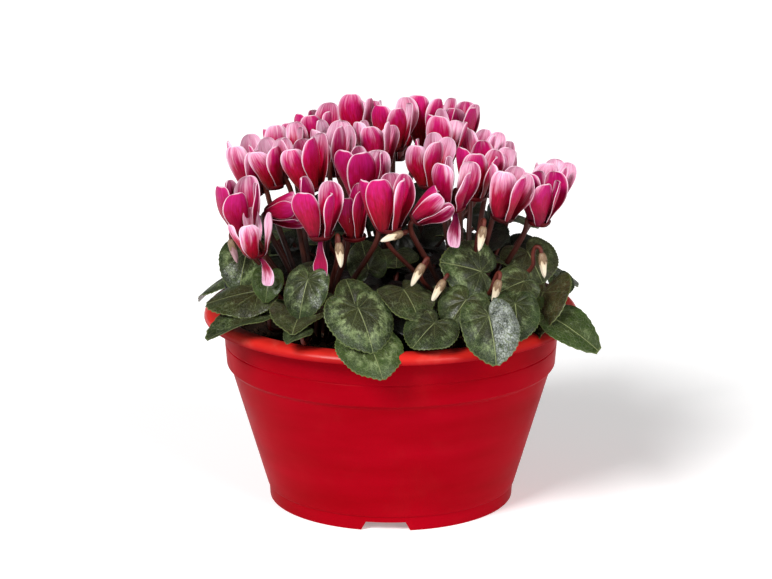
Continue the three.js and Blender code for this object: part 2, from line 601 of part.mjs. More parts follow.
// Each piece is kept out of the space of those before it.
let taken = lipSpace();
CORMS.forEach((place, number) => {
  show(numbered("crown", number), makeCrown(number, 0), stem);
  taken = taken.add(makeCrown(number, GAP));
});
BLOOMS.forEach((bloom, i) => {
  show(numbered("bloom", i), makeBloom(bloom, 0).subtract(taken), petalPink);
  taken = taken.add(makeBloom(bloom, GAP));
});
LEAVES.forEach((leaf, i) => {
  show(numbered("leaf", i), leafBlade(leaf, LEAF_SECTORS, 0).subtract(taken), leafGreen);
  taken = taken.add(leafBlade(leaf, LEAF_SECTORS, GAP));
});

export default group;
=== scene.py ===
"""A bowl of cyclamen in a red plastic pot: its petals, leaves, stalks, buds, corms, soil and pot.

Sizes are in millimetres and become metres when a mesh is made. The front is -Y.
"""

import math

import bpy
import numpy as np
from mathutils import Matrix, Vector


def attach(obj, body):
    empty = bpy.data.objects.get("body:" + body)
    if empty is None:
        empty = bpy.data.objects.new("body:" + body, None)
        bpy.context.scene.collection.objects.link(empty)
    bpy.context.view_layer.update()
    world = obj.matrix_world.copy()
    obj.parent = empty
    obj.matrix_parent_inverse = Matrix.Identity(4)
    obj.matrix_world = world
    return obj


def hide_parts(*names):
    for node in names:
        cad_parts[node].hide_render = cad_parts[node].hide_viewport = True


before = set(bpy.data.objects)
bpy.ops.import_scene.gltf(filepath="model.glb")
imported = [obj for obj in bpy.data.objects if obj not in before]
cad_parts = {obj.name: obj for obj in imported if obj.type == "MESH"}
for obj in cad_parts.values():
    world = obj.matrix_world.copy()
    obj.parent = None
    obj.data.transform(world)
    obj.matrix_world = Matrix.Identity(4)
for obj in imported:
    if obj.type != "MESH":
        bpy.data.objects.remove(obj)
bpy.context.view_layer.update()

METRES = 0.001
BODY = "root"

# Pot
WALL = 2.2
FOOT_RADIUS = 88.6
FOOT_RING_WIDTH = 5
FOOT_HEIGHT = 10
WALL_BOTTOM_RADIUS = 90.3
WALL_TOP = (116, 98.4)
COLLAR_BOTTOM = (119, 101)
COLLAR_TOP = (121.4, 134.5)
GROOVE_HEIGHT = 116.3
GROOVE_DEPTH = 0.5
LIP_RADIUS = 135
LIP_SKIRT_HEIGHT = 135
LIP_TOP_HEIGHT = 142.5
POT_SEGMENTS = 160
SHARP_ANGLE = 38
NOTCH = {"count": 3, "height": 6.5, "low": 36, "high": 28, "inside": 73, "outside": 103, "turn": -92.5}
DRAIN_HOLE = {"count": 4, "radius": 5, "circle": 60, "bottom": 5, "top": 18, "segments": 24}

# A fillet takes at most this share of the straight on either side of its corner, in so many steps.
FILLET_SHARE = 0.45
FILLET_STEPS = 5

# Soil, with its crumbs a square metre, and their smallest and largest radius and their dents in metres
SOIL_EDGE_HEIGHT = 118
SOIL_MOUND = 7
SOIL_LUMP = 1.6
SOIL_CLEARANCE = 0.9
SOIL_SEGMENTS = 150
SOIL_RINGS = 60
CRUMBS = {"density": 36000.0, "small": 0.0008, "large": 0.0023, "seed": 7}
CRUMB_DENT = 0.0032

# Plants: one grows from each corm. A foot is how far from a corm's middle a stalk starts, for a short and
# for a long reach, and it is rooted so deep in the corm.
CORM = {"radius": 22, "flatness": 0.6, "height": 120, "rings": 22, "segments": 48}
CORMS = [(-50, -30), (52, -28), (0, 52)]
FLOWER_STALK_FOOT = (1, 9)
LEAF_STALK_FOOT = (11, 15)
LONG_REACH = 80
ROOTED = 4
FLOWER_STALK_RADIUS = 1.8
LEAF_STALK_RADIUS = 1.45
STALK_TAPER = (1.12, 0.94)
STALK_SIDES = 9
STALK_STEPS = 7
STALK_BENDS = (12, 9)
SEED = {"bloom": 0, "leaf": 100, "bud": 200, "young": 300, "heart": 400}

# Leaves: teeth are a share of the reach, on a share of the rim that leaves out the notch at the joint. A
# grid is the number of points round a blade and from its joint to its rim. A leaf's number, times its
# step, sets its pattern apart from those of the others.
LEAF_HALF_THICKNESS = 0.38
LEAF_TOOTH = 0.013
TOOTHED_SHARE = 0.86
NOTCH_CROWDING = 0.45
VEINS = 9
LEAF_NUMBER_STEP = 7.3
LARGE_GRID = (120, 12)
SMALL_GRID = (84, 8)
COARSE_GRID = (24, 4)
YOUNG_NUMBER = 40
HEART_NUMBER = 60

# Leaves in the heart of the bowl: tries, how far out the joints are, their lowest height and how much
# higher they reach in front and behind, the length of the first and how much shorter the last is, how far
# the low and the high ones may reach out, and the gap that they keep from all that is near the joint.
HEART = {
    "tries": 1600, "radius": 106, "low": 148, "rise": 22, "rise_behind": 42, "length": 26, "shorter": 14,
    "low_limit": 115, "high_limit": 122, "high": 165, "near": 36, "gap": 2,
}

# Blooms, with the number of a petal's points from its claw to its widest place, on to its tip, and across
PETALS = 5
PETAL_POINTS = (14, 11, 13)
PETAL_HALF_THICKNESS = 0.32
PETAL_TWIST = 27
PETAL_CUP = 0.34
PETAL_WIDEST = 0.72
STALK_OPENING = 100

# Under the petals: the throat's section, how far round from the stalk its mouth is drawn in and where it
# is full again, and the radius that it keeps beside the stalk
SEPALS = 5
SEPAL_LENGTH = 6
THROAT_HEIGHT = 9.4
THROAT_SEGMENTS = 40
THROAT_DRAWN_IN = (26, 56)
THROAT_GAP_RADIUS = 4.6
THROAT_FREE_RADIUS = 20
THROAT = [
    (0, 1.6), (1.6, 1.5), (3.4, 0.6), (5.2, -0.5), (6.9, -0.2), (8.0, 1.1), (8.5, 3.0), (8.2, 3.2),
    (7.4, 1.8), (6.0, 1.2), (4.7, 2.2), (3.6, 5.2), (2.8, 8.6), (2.0, 9.4), (0, 9.5),
]

# Buds: radius and distance from the top, of the furled petals and of the calyx over them
BUD_LENGTH = 17
BUD_SEGMENTS = 30
BUD_RINGS = 16
BUD_CONE = [(0, 0.4), (1.9, 0.9), (2.6, 3), (2.7, 6), (2.1, 11), (1.2, 15), (0, BUD_LENGTH)]
BUD_CALYX = [(0, -1), (1.7, -0.7), (2.5, 0.8), (3.0, 3), (3.0, 5.4), (2.9, 5.6), (0, 5)]

# Blooms: where the mouth is, the size, how pale the petals are, how far they stand out where one is slim,
# how far and which way one leans, and the angle at which one petal hangs.
BLOOMS = [
    dict(at=(-48.3, -85, 212.5), size=1.1, hanging=176, pale=0.22),
    dict(at=(-25.5, -67, 206.9), size=1.0, slim=0.62, pale=0.3),
    dict(at=(-2.2, -80, 216.5), size=1.12, pale=0.3),
    dict(at=(15.5, -86, 225.5), size=0.74, lean=52, lean_heading=-10, pale=0.5),
    dict(at=(43, -72, 229.5), size=1.0, hanging=200, pale=0.6),
    dict(at=(76.8, -62, 220), size=1.04, pale=0.7),
    dict(at=(103, -50, 213.5), size=1.02, lean=6, pale=0.3),
    dict(at=(-93.8, -70, 195.5), size=0.82, lean=10, slim=1.3, hanging=262, pale=0.95),
    dict(at=(-102.5, -50, 205), size=1.04, lean=6, pale=0.35),
    dict(at=(-96, -12, 226), size=1.08, pale=0.7),
    dict(at=(-80.5, -25, 234.5), size=1, pale=0.8),
    dict(at=(-56.2, -38, 235.5), size=1.08, pale=0.6),
    dict(at=(-39.9, -6, 238.5), size=1.04, pale=0.7),
    dict(at=(-19, -42, 224.5), size=1.19, pale=0.4),
    dict(at=(27.6, -15, 231.5), size=1.04, pale=0.65),
    dict(at=(58.3, -33, 228), size=1.04, pale=0.35),
    dict(at=(72.5, -8, 223.5), size=0.98, pale=0.9),
    dict(at=(110, -8, 213.5), size=1.04, lean=8, pale=0.8),
    dict(at=(-72.5, 25, 235.5), size=0.95, pale=0.65),
    dict(at=(-9.3, 8, 237.5), size=1.04, pale=0.75),
    dict(at=(36, 18, 240.5), size=1.04, pale=0.5),
    dict(at=(60.5, 22, 229.5), size=0.98, pale=0.8),
    dict(at=(-51, 50, 240), size=1.02, pale=0.4),
    dict(at=(-20.4, 55, 246), size=1.06, pale=0.5),
    dict(at=(3, 34, 248.5), size=1.02, pale=0.6),
    dict(at=(26.9, 50, 244.5), size=1.06, pale=0.4),
    dict(at=(48.5, 60, 240), size=1.02, pale=0.4),
    dict(at=(-87, -44, 219.5), size=0.75, lean=78, lean_heading=-20, pale=0.3),
    dict(at=(-62, 84, 218), size=1.1, pale=0.5),
    dict(at=(2, 100, 226), size=1.12, pale=0.6),
    dict(at=(72, 78, 207), size=1.06, pale=0.5),
]

# Large leaves: where the stalk joins the blade, the way the tip points, how far it drops, how far the
# blade is rolled about its midrib, the distance from the joint to the tip, and how silvery and how
# bronze the blade is.
LEAVES = [
    dict(at=(-22.6, -122, 172.2), heading=-56, droop=45, length=31, silver=0.8),
    dict(at=(62, -74, 185.5), heading=-162, droop=-22, roll=52, length=28, wave=1.2, silver=0.6, bronze=0.15),
    dict(at=(-57.2, -97, 185.5), heading=-118, droop=54, length=27, broad=0.7, wave=0.6, silver=0.5,
         bronze=0.15),
    dict(at=(51.5, -100, 172.1), heading=-140, droop=40, roll=22, length=22, silver=0.5, bronze=0.3),
    dict(at=(66, -122, 167), heading=-71, droop=50, length=32, broad=0.76, wave=1.2, silver=0.6, frost=1.0),
    dict(at=(-102, -30, 188.5), heading=-108, droop=44, length=29, broad=0.7, fold=0.3, wave=3, silver=0.7),
    dict(at=(96.5, -32, 189), heading=-60, droop=35, roll=-12, length=25, wave=1.2, silver=0.4, bronze=0.6),
    dict(at=(92, -78, 179.5), heading=-148, droop=8, roll=38, length=22, broad=0.8, wave=2, silver=0.5,
         bronze=0.4),
    dict(at=(107, -55, 165), heading=-116, droop=38, roll=-16, length=38, broad=0.8, fold=0.35,
         silver=0.1, bronze=1.0),
    dict(at=(85.2, -97, 168.7), heading=-84, droop=42, length=26, broad=0.75, wave=1.2, silver=0.3,
         bronze=0.1),
    dict(at=(108, -74, 154.5), heading=-28, droop=18, roll=-22, length=37, broad=0.44, fold=0.25,
         point=0.2, silver=0.25, bright=0.4),
    dict(at=(29.5, -118, 160.5), heading=-136, droop=26, roll=18, length=23, wave=1.6, silver=0.35),
    dict(at=(-16, -128.5, 151), heading=-62, droop=34, roll=-5, length=28, wave=0.6, silver=0.7, bright=0.5),
    dict(at=(-62.7, -98, 161.1), heading=-100, droop=4, length=26, fold=0.5, broad=0.9, silver=0.3,
         bronze=0.6),
    dict(at=(-92, -58, 167), heading=174, droop=8, roll=24, length=38, broad=0.66, wave=3.5, silver=0.2,
         bronze=0.6),
    dict(at=(-85, -74, 153), heading=-163, droop=6, roll=2, length=44, broad=0.58, fold=0.45, silver=0.3,
         bronze=0.2),
    dict(at=(-24.5, -101, 167.8), heading=118, droop=-56, roll=10, length=21, broad=0.75, fold=0.45,
         silver=0.4, bronze=0.3),
    dict(at=(-16, -50, 181.5), heading=125, droop=-66, roll=30, length=20, broad=0.8, wave=1.5,
         silver=0.3, bronze=0.3),
    dict(at=(8.5, -92, 177), heading=-62, droop=22, length=26, broad=0.9, wave=2, silver=0.2, bronze=0.4),
    dict(at=(108, 44, 161.1), heading=20, droop=18, length=34, wave=2, silver=0.6),
    dict(at=(68, 94, 158.5), heading=55, droop=20, roll=8, length=35, wave=2, silver=0.8),
    dict(at=(0, 116, 156.8), heading=92, droop=22, length=35, wave=2.4, silver=0.7),
    dict(at=(-64, 94, 160.2), heading=126, droop=16, roll=-8, length=34, wave=2, silver=0.6),
    dict(at=(-107, 46, 157), heading=165, droop=24, length=41.5, wave=1.8, silver=0.5),
]

# Young leaves on their own stalks in the heart of each plant, in the same terms.
YOUNG_LEAVES = [
    dict(at=(-85.8, -66, 179.5), heading=-97, droop=52, roll=10, length=17, broad=0.75, fold=0.5, bright=0.6),
    dict(at=(-62, -118, 155), heading=-135, droop=16, length=13, fold=0.3),
    dict(at=(122, 4, 160), heading=-60, droop=40, length=13, fold=0.2),
    dict(at=(-58, -48, 181.5), heading=200, droop=20, length=18),
    dict(at=(-40, -72, 167), heading=-80, droop=20, length=18),
    dict(at=(40, -62, 168.7), heading=-110, droop=20, length=18),
    dict(at=(78, -30, 183.5), heading=10, droop=18, length=19),
    dict(at=(46, 24, 185.5), heading=40, droop=15, length=20),
    dict(at=(-46, 30, 185.5), heading=150, droop=15, length=20),
    dict(at=(38, 84, 181.5), heading=60, droop=25, length=21),
    dict(at=(-28, 88, 183.5), heading=115, droop=25, length=21),
    dict(at=(86, 42, 198), heading=20, droop=12, length=24),
    dict(at=(-84, 28, 188), heading=165, droop=16, length=21),
    dict(at=(4, 12, 177.5), heading=-90, droop=10, length=19),
]

# Closed buds: where the top with its calyx is, the tip, which hangs, and how purple one is.
BUDS = [
    dict(at=(-35.7, -98, 211.5), tip=(-34.4, -99, 193.5)),
    dict(at=(21.5, -94, 195.5), tip=(13, -96, 179.5)),
    dict(at=(74.2, -92, 183.5), tip=(69.4, -94, 166.5)),
    dict(at=(105.1, -64, 195.5), tip=(107, -66, 178.5)),
    dict(at=(63.8, -76, 217.5), tip=(60.5, -79, 201.5)),
    dict(at=(7, -84, 215.5), tip=(-8, -92, 211.5)),
    dict(at=(-112.4, -48, 201.5), tip=(-108, -50, 185.5), purple=0.8),
    dict(at=(36, -92, 183.5), tip=(30, -95, 173.5)),
    dict(at=(40, 102, 203), tip=(43, 106, 186.2)),
    dict(at=(-18, 112, 201.5), tip=(-20, 116, 184.5)),
]

# How far a petal's middle line stands from the bloom's axis, and how far above the mouth, at even steps
# from its claw to its tip
PETAL_REACH = (2.2, 6.2, 7.3, 8.6, 10.3, 12, 13.1, 13.2)
PETAL_RISE = (1.4, 0.6, 3.8, 9.6, 16, 22.4, 28.8, 34.8)
HANGING_REACH = (2.2, 7, 8.8, 9.8, 10.4, 10.6, 10.4, 9.8)
HANGING_RISE = (1.4, -1.2, -4.5, -8.5, -13, -17.5, -22, -26)

# A stalk's crook, from the side of the flower round to its top: distance from the axis, and height
BLOOM_CROOK = ((9.4, -8), (7.7, 3.5), (3.8, 12.6), (0.2, 13.6), (0, 8.6))
BUD_CROOK = ((8.5, -8), (7.4, 0), (4.6, 5), (1.4, 4.6), (0, -0.6))

# Camera: straight in front, looking a little down
CAMERA_PLACE = (-0.0036, -2.0, 0.687)
CAMERA_PITCH = 0.26095
CAMERA_LENS = 133.7

# Studio: each lamp's place, strength and width in degrees
KEY_LAMP = ((-1.6, -2.1, 2.3), 3.3, 24)
FILL_LAMP = ((2.0, -2.0, 1.6), 1.7, 38)
LAMPS_AIM = (0, 0, 0.16)
AIR_LIGHT = 0.1
FLOOR_HALF = 6


# Numbers and vectors

def draw(seed):
    """A repeatable draw between -1 and 1."""
    wave = math.sin(seed * 127.1 + 311.7) * 43758.5453
    return 2 * (wave - math.floor(wave)) - 1


def smooth_through(values, s):
    """The smooth curve through evenly spaced values, where s runs from 0 to 1."""
    values = np.asarray(values, float)
    last = len(values) - 1
    i = np.minimum(np.floor(np.asarray(s) * last).astype(int), last - 1)
    t = np.asarray(s) * last - i
    a = values[np.maximum(i - 1, 0)]
    b = values[i]
    c = values[i + 1]
    d = values[np.minimum(i + 2, last)]
    return b + 0.5 * t * (c - a + t * (2 * a - 5 * b + 4 * c - d + t * (3 * (b - c) + d - a)))


def unit(vector):
    vector = np.asarray(vector, float)
    return vector / np.linalg.norm(vector)


def leaning(heading, tilt):
    """A unit vector that leans from straight up towards a heading, both in radians."""
    return np.array([math.cos(heading) * math.sin(tilt), math.sin(heading) * math.sin(tilt), math.cos(tilt)])


def rotated(vector, axis, angle):
    """A vector turned about a unit axis by an angle in radians."""
    along = axis * np.dot(axis, vector)
    return along + (vector - along) * math.cos(angle) + np.cross(axis, vector) * math.sin(angle)


def eased(value, low, high):
    """0 below low, 1 above high, and a smooth step between."""
    t = np.clip((value - low) / (high - low), 0, 1)
    return t * t * (3 - 2 * t)


# Meshes

def round_rows(radius, height, angle):
    """Loops of points about +Z, from a column of radii, a column of heights and a row of angles."""
    return np.stack([radius * np.cos(angle), radius * np.sin(angle), height + 0 * angle], -1)


def pointed(rows):
    """The loops with the first and the last one drawn together to a point."""
    rows[0] = rows[0].mean(0)
    rows[-1] = rows[-1].mean(0)
    return rows


def closed_skin(rows, marks, material=0):
    """A closed patch through loops of points, whose first and last loop close to a pole."""
    count, columns = rows.shape[:2]

    def flat(values):
        values = np.asarray(values, float)
        return np.concatenate([values[:1, 0], values[1:-1].reshape(-1, *values.shape[2:]), values[-1:, 0]])

    points = flat(rows)
    last = len(points) - 1
    column = np.arange(columns)
    beside = (column + 1) % columns
    faces = [(0, 1 + a, 1 + b) for a, b in zip(beside, column)]
    for row in range(count - 3):
        low = 1 + row * columns
        high = low + columns
        faces += list(zip(low + column, low + beside, high + beside, high + column))
    low = 1 + (count - 3) * columns
    faces += [(low + a, low + b, last) for a, b in zip(column, beside)]
    return facing_out({
        "points": points,
        "faces": faces,
        "marks": {name: flat(values) for name, values in marks.items()},
        "material": material,
    })


def facing_out(patch):
    """The patch with its faces turned to point outwards."""
    points = patch["points"]
    corners = [face[:3] for face in patch["faces"]]
    corners += [(face[0], face[2], face[3]) for face in patch["faces"] if len(face) == 4]
    corners = np.array(corners)
    a, b, c = (points[corners[:, k]] for k in range(3))
    if np.einsum("ij,ij->i", a, np.cross(b, c)).sum() < 0:
        patch["faces"] = [tuple(reversed(face)) for face in patch["faces"]]
    return patch


def turned(profile, segments):
    """A closed surface of revolution about +Z, from a profile that starts and ends on the axis."""
    profile = np.asarray(profile, float)
    angle = np.arange(segments) * 2 * math.pi / segments
    return closed_skin(round_rows(profile[:, :1], profile[:, 1:2], angle), {})


def placed(patch, place):
    """The patch with a function applied to its points."""
    return {**patch, "points": place(patch["points"])}


def new_object(name, data):
    made = bpy.data.objects.new(name, data)
    bpy.context.scene.collection.objects.link(made)
    return made


def bare_mesh(name, patches):
    """One mesh of closed patches, one after another, in metres."""
    starts = np.cumsum([0] + [len(p["points"]) for p in patches])
    points = np.concatenate([p["points"] for p in patches]) * METRES
    faces = [tuple(int(i + start) for i in face) for start, p in zip(starts, patches) for face in p["faces"]]
    mesh = bpy.data.meshes.new(name)
    mesh.from_pydata(points.tolist(), [], faces)
    return mesh


def mark_mesh(mesh, mark, patches):
    """Give the mesh one of its patches' marks, which is zero on a patch without it."""
    values = [p["marks"].get(mark) for p in patches]
    width = next(v for v in values if v is not None).shape[1:]
    values = [np.zeros((len(p["points"]), *width)) if v is None else v for v, p in zip(values, patches)]
    attribute = mesh.attributes.new(mark, "FLOAT_VECTOR" if width else "FLOAT", "POINT")
    attribute.data.foreach_set("vector" if width else "value", np.concatenate(values).ravel())


def make_piece(name, patches, materials, slot, replaces=()):
    """One mesh object from closed patches, which rides on the body and may stand for CAD nodes."""
    mesh = bare_mesh(name, patches)
    for material in materials:
        mesh.materials.append(material)
    index = np.concatenate([np.full(len(p["faces"]), p["material"]) for p in patches])
    mesh.polygons.foreach_set("material_index", index)
    for mark in sorted({mark for p in patches for mark in p["marks"]}):
        mark_mesh(mesh, mark, patches)
    finish_piece(name, mesh, slot, replaces)


def finish_piece(name, mesh, slot, replaces=()):
    """Put a mesh in the scene as a piece that rides on the body."""
    mesh.validate()
    mesh.shade_smooth()
    piece = new_object(name, mesh)
    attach(piece, BODY)
    if replaces:
        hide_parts(*replaces)


def result_of(source):
    """The plain mesh that an object's modifiers make. The object itself goes."""
    bpy.context.view_layer.update()
    graph = bpy.context.evaluated_depsgraph_get()
    mesh = bpy.data.meshes.new_from_object(source.evaluated_get(graph), depsgraph=graph)
    bpy.data.objects.remove(source)
    return mesh


# Nodes

class Nodes:
    """A node tree. Each new node gives back one of its outputs, for the next to use."""

    def set(self, socket, value):
        if isinstance(value, bpy.types.NodeSocket):
            self.tree.links.new(value, socket)
        else:
            socket.default_value = value

    def node(self, kind, inputs, output=0, **settings):
        made = self.tree.nodes.new(kind)
        for key, value in settings.items():
            setattr(made, key, value)
        for key, value in inputs.items():
            self.set(made.inputs[key], value)
        return made.outputs[output]


class Shaper(Nodes):
    """Geometry nodes, with a named input for each size that they take."""

    def __init__(self, name, **sizes):
        self.tree = bpy.data.node_groups.new(name, "GeometryNodeTree")
        face = self.tree.interface
        face.new_socket("Geometry", in_out="INPUT", socket_type="NodeSocketGeometry")
        self.sizes = {}
        for size, (label, kind) in sizes.items():
            self.sizes[size] = face.new_socket(label, in_out="INPUT", socket_type=kind)
        face.new_socket("Geometry", in_out="OUTPUT", socket_type="NodeSocketGeometry")
        self.given = self.tree.nodes.new("NodeGroupInput")

    def size(self, name):
        return self.given.outputs[self.sizes[name].name]

    def done(self, geometry, material):
        painted = self.node("GeometryNodeSetMaterial", {"Geometry": geometry, "Material": material})
        self.set(self.tree.nodes.new("NodeGroupOutput").inputs[0], painted)
        return self

    def shape(self, source, name, **values):
        """The plain mesh that the tree makes of an object, with a value for each size."""
        shaping = source.modifiers.new("shaping", "NODES")
        shaping.node_group = self.tree
        for size, value in values.items():
            shaping[self.sizes[size].identifier] = value
        mesh = result_of(source)
        mesh.name = name
        return mesh


def linear(red, green, blue):
    """A colour given in 0 to 255 as it looks on a screen, as the shader's linear colour."""
    return tuple((value / 255) ** 2.2 for value in (red, green, blue)) + (1.0,)


class Finish(Nodes):
    """A material, with its constants set on its own shader."""

    def __init__(self, name, **constants):
        self.material = bpy.data.materials.new(name)
        self.material.use_nodes = True
        self.tree = self.material.node_tree
        self.skin = self.tree.nodes["Principled BSDF"]
        for key, value in constants.items():
            self.skin.inputs[key.replace("_", " ")].default_value = value

    def mark(self, name, output="Fac"):
        return self.node("ShaderNodeAttribute", {}, output, attribute_name=name)

    def marks(self, name):
        """The three numbers of a mark that is a vector."""
        return self.parts(self.mark(name, "Vector"))

    def parts(self, vector):
        """The three numbers of a vector."""
        made = self.tree.nodes.new("ShaderNodeSeparateXYZ")
        self.set(made.inputs[0], vector)
        return made.outputs[:3]

    def vector(self, x, y, z=0.0):
        return self.node("ShaderNodeCombineXYZ", {0: x, 1: y, 2: z})

    def stretched(self, first, times, second, second_times, third):
        """Two values, each drawn out or squeezed by its own number, and a third, as one place."""
        return self.vector(self.times(first, times), self.times(second, second_times), third)

    def math(self, operation, *values):
        return self.node("ShaderNodeMath", dict(enumerate(values)), operation=operation)

    def times(self, first, second):
        return self.math("MULTIPLY", first, second)

    def plus(self, first, second):
        return self.math("ADD", first, second)

    def scaled(self, value, times, plus):
        return self.math("MULTIPLY_ADD", value, times, plus)

    def step(self, value, low, high, start=0.0, end=1.0):
        inputs = {"Value": value, "From Min": low, "From Max": high, "To Min": start, "To Max": end}
        return self.node("ShaderNodeMapRange", inputs, interpolation_type="SMOOTHSTEP")

    def noise(self, vector, scale, detail=3.0, roughness=0.5):
        inputs = {"Vector": vector, "Scale": scale, "Detail": detail, "Roughness": roughness}
        return self.node("ShaderNodeTexNoise", inputs, "Fac")

    def cells(self, vector, scale, feature="DISTANCE_TO_EDGE"):
        inputs = {"Vector": vector, "Scale": scale}
        return self.node("ShaderNodeTexVoronoi", inputs, "Distance", feature=feature)

    def ramp(self, factor, *stops):
        """A colour that follows a value, from stops of a place and a colour."""
        made = self.tree.nodes.new("ShaderNodeValToRGB")
        elements = made.color_ramp.elements
        for _ in stops[2:]:
            elements.new(0.5)
        for element, (place, colour) in zip(elements, stops):
            element.position = place
            element.color = linear(*colour)
        self.set(made.inputs[0], factor)
        return made.outputs[0]

    def mix(self, factor, first, second):
        """The first colour, covered by the second as far as the factor says."""
        first, second = (linear(*c) if isinstance(c, tuple) else c for c in (first, second))
        return self.node("ShaderNodeMix", {0: factor, 6: first, 7: second}, 2, data_type="RGBA")

    def place(self):
        return self.node("ShaderNodeTexCoord", {}, "Object")

    def bump(self, height, strength, distance):
        inputs = {"Height": height, "Strength": strength, "Distance": distance}
        return self.node("ShaderNodeBump", inputs, "Normal")

    def done(self, colour, roughness, normal=None):
        self.set(self.skin.inputs["Base Color"], colour)
        self.set(self.skin.inputs["Roughness"], roughness)
        if normal is not None:
            self.set(self.skin.inputs["Normal"], normal)
        return self.material


def petal_finish():
    """Dark red at the claw, crimson above, magenta at the top, streaked into a pale margin and edge line."""
    f = Finish("petal_velvet", Specular_IOR_Level=0.15, Sheen_Weight=0.04, Sheen_Roughness=0.4)
    across, along, inner = f.marks("petal_place")
    pale, purple, number = f.marks("petal_tone")
    side = f.math("ABSOLUTE", across)
    side_squared = f.times(side, side)
    streaks = f.noise(f.stretched(across, 3.4, along, 1.0, number), 2.2, 5.0, 0.7)
    fine = f.noise(f.stretched(across, 10.0, along, 1.4, number), 2.4)
    mottle = f.noise(f.stretched(across, 1.8, along, 3.4, number), 2.2, 3.0, 0.6)
    cloud = f.noise(f.stretched(across, 1.1, along, 1.0, number), 1.7, 3.0, 0.55)
    wander = f.scaled(streaks, 0.34, f.scaled(cloud, 0.7, -0.52))
    height = f.plus(along, f.scaled(mottle, 0.6, -0.3))
    body = f.ramp(
        height,
        (0.0, (42, 3, 7)), (0.18, (84, 4, 12)), (0.42, (142, 4, 22)),
        (0.64, (184, 7, 56)), (0.92, (204, 28, 114)),
    )
    body = f.mix(f.times(purple, 0.5), body, (112, 12, 82))
    body = f.mix(f.step(streaks, 0.32, 0.55, 0.3, 0.0), body, (112, 2, 28))
    body = f.mix(f.step(fine, 0.35, 0.6, 0.3, 0.0), body, (104, 2, 30))
    margin = f.plus(f.scaled(along, 0.9, wander), f.times(f.times(side_squared, side_squared), 0.42))
    margin = f.plus(margin, f.scaled(pale, 0.6, -0.62))
    # Inner faces are paler, partly their own colour and partly painted light for the light that shines
    # through the thin petals
    margin = f.plus(margin, f.times(inner, 0.24))
    blush_and_painted_light = f.times(f.step(margin, 0.5, 1.0), f.step(along, 0.25, 0.6))
    colour = f.mix(blush_and_painted_light, body, f.ramp(streaks, (0.34, (230, 142, 186)), (0.62, (252, 214, 232))))
    edge = f.math("MAXIMUM", f.step(side, 0.915, 0.99), f.step(along, 0.97, 0.992))
    edge = f.times(edge, f.step(along, 0.12, 0.3))
    colour = f.mix(f.times(edge, 0.8), colour, (252, 222, 234))
    return f.done(colour, f.step(fine, 0.2, 0.8, 0.4, 0.55), f.bump(f.plus(fine, streaks), 0.3, 0.0008))


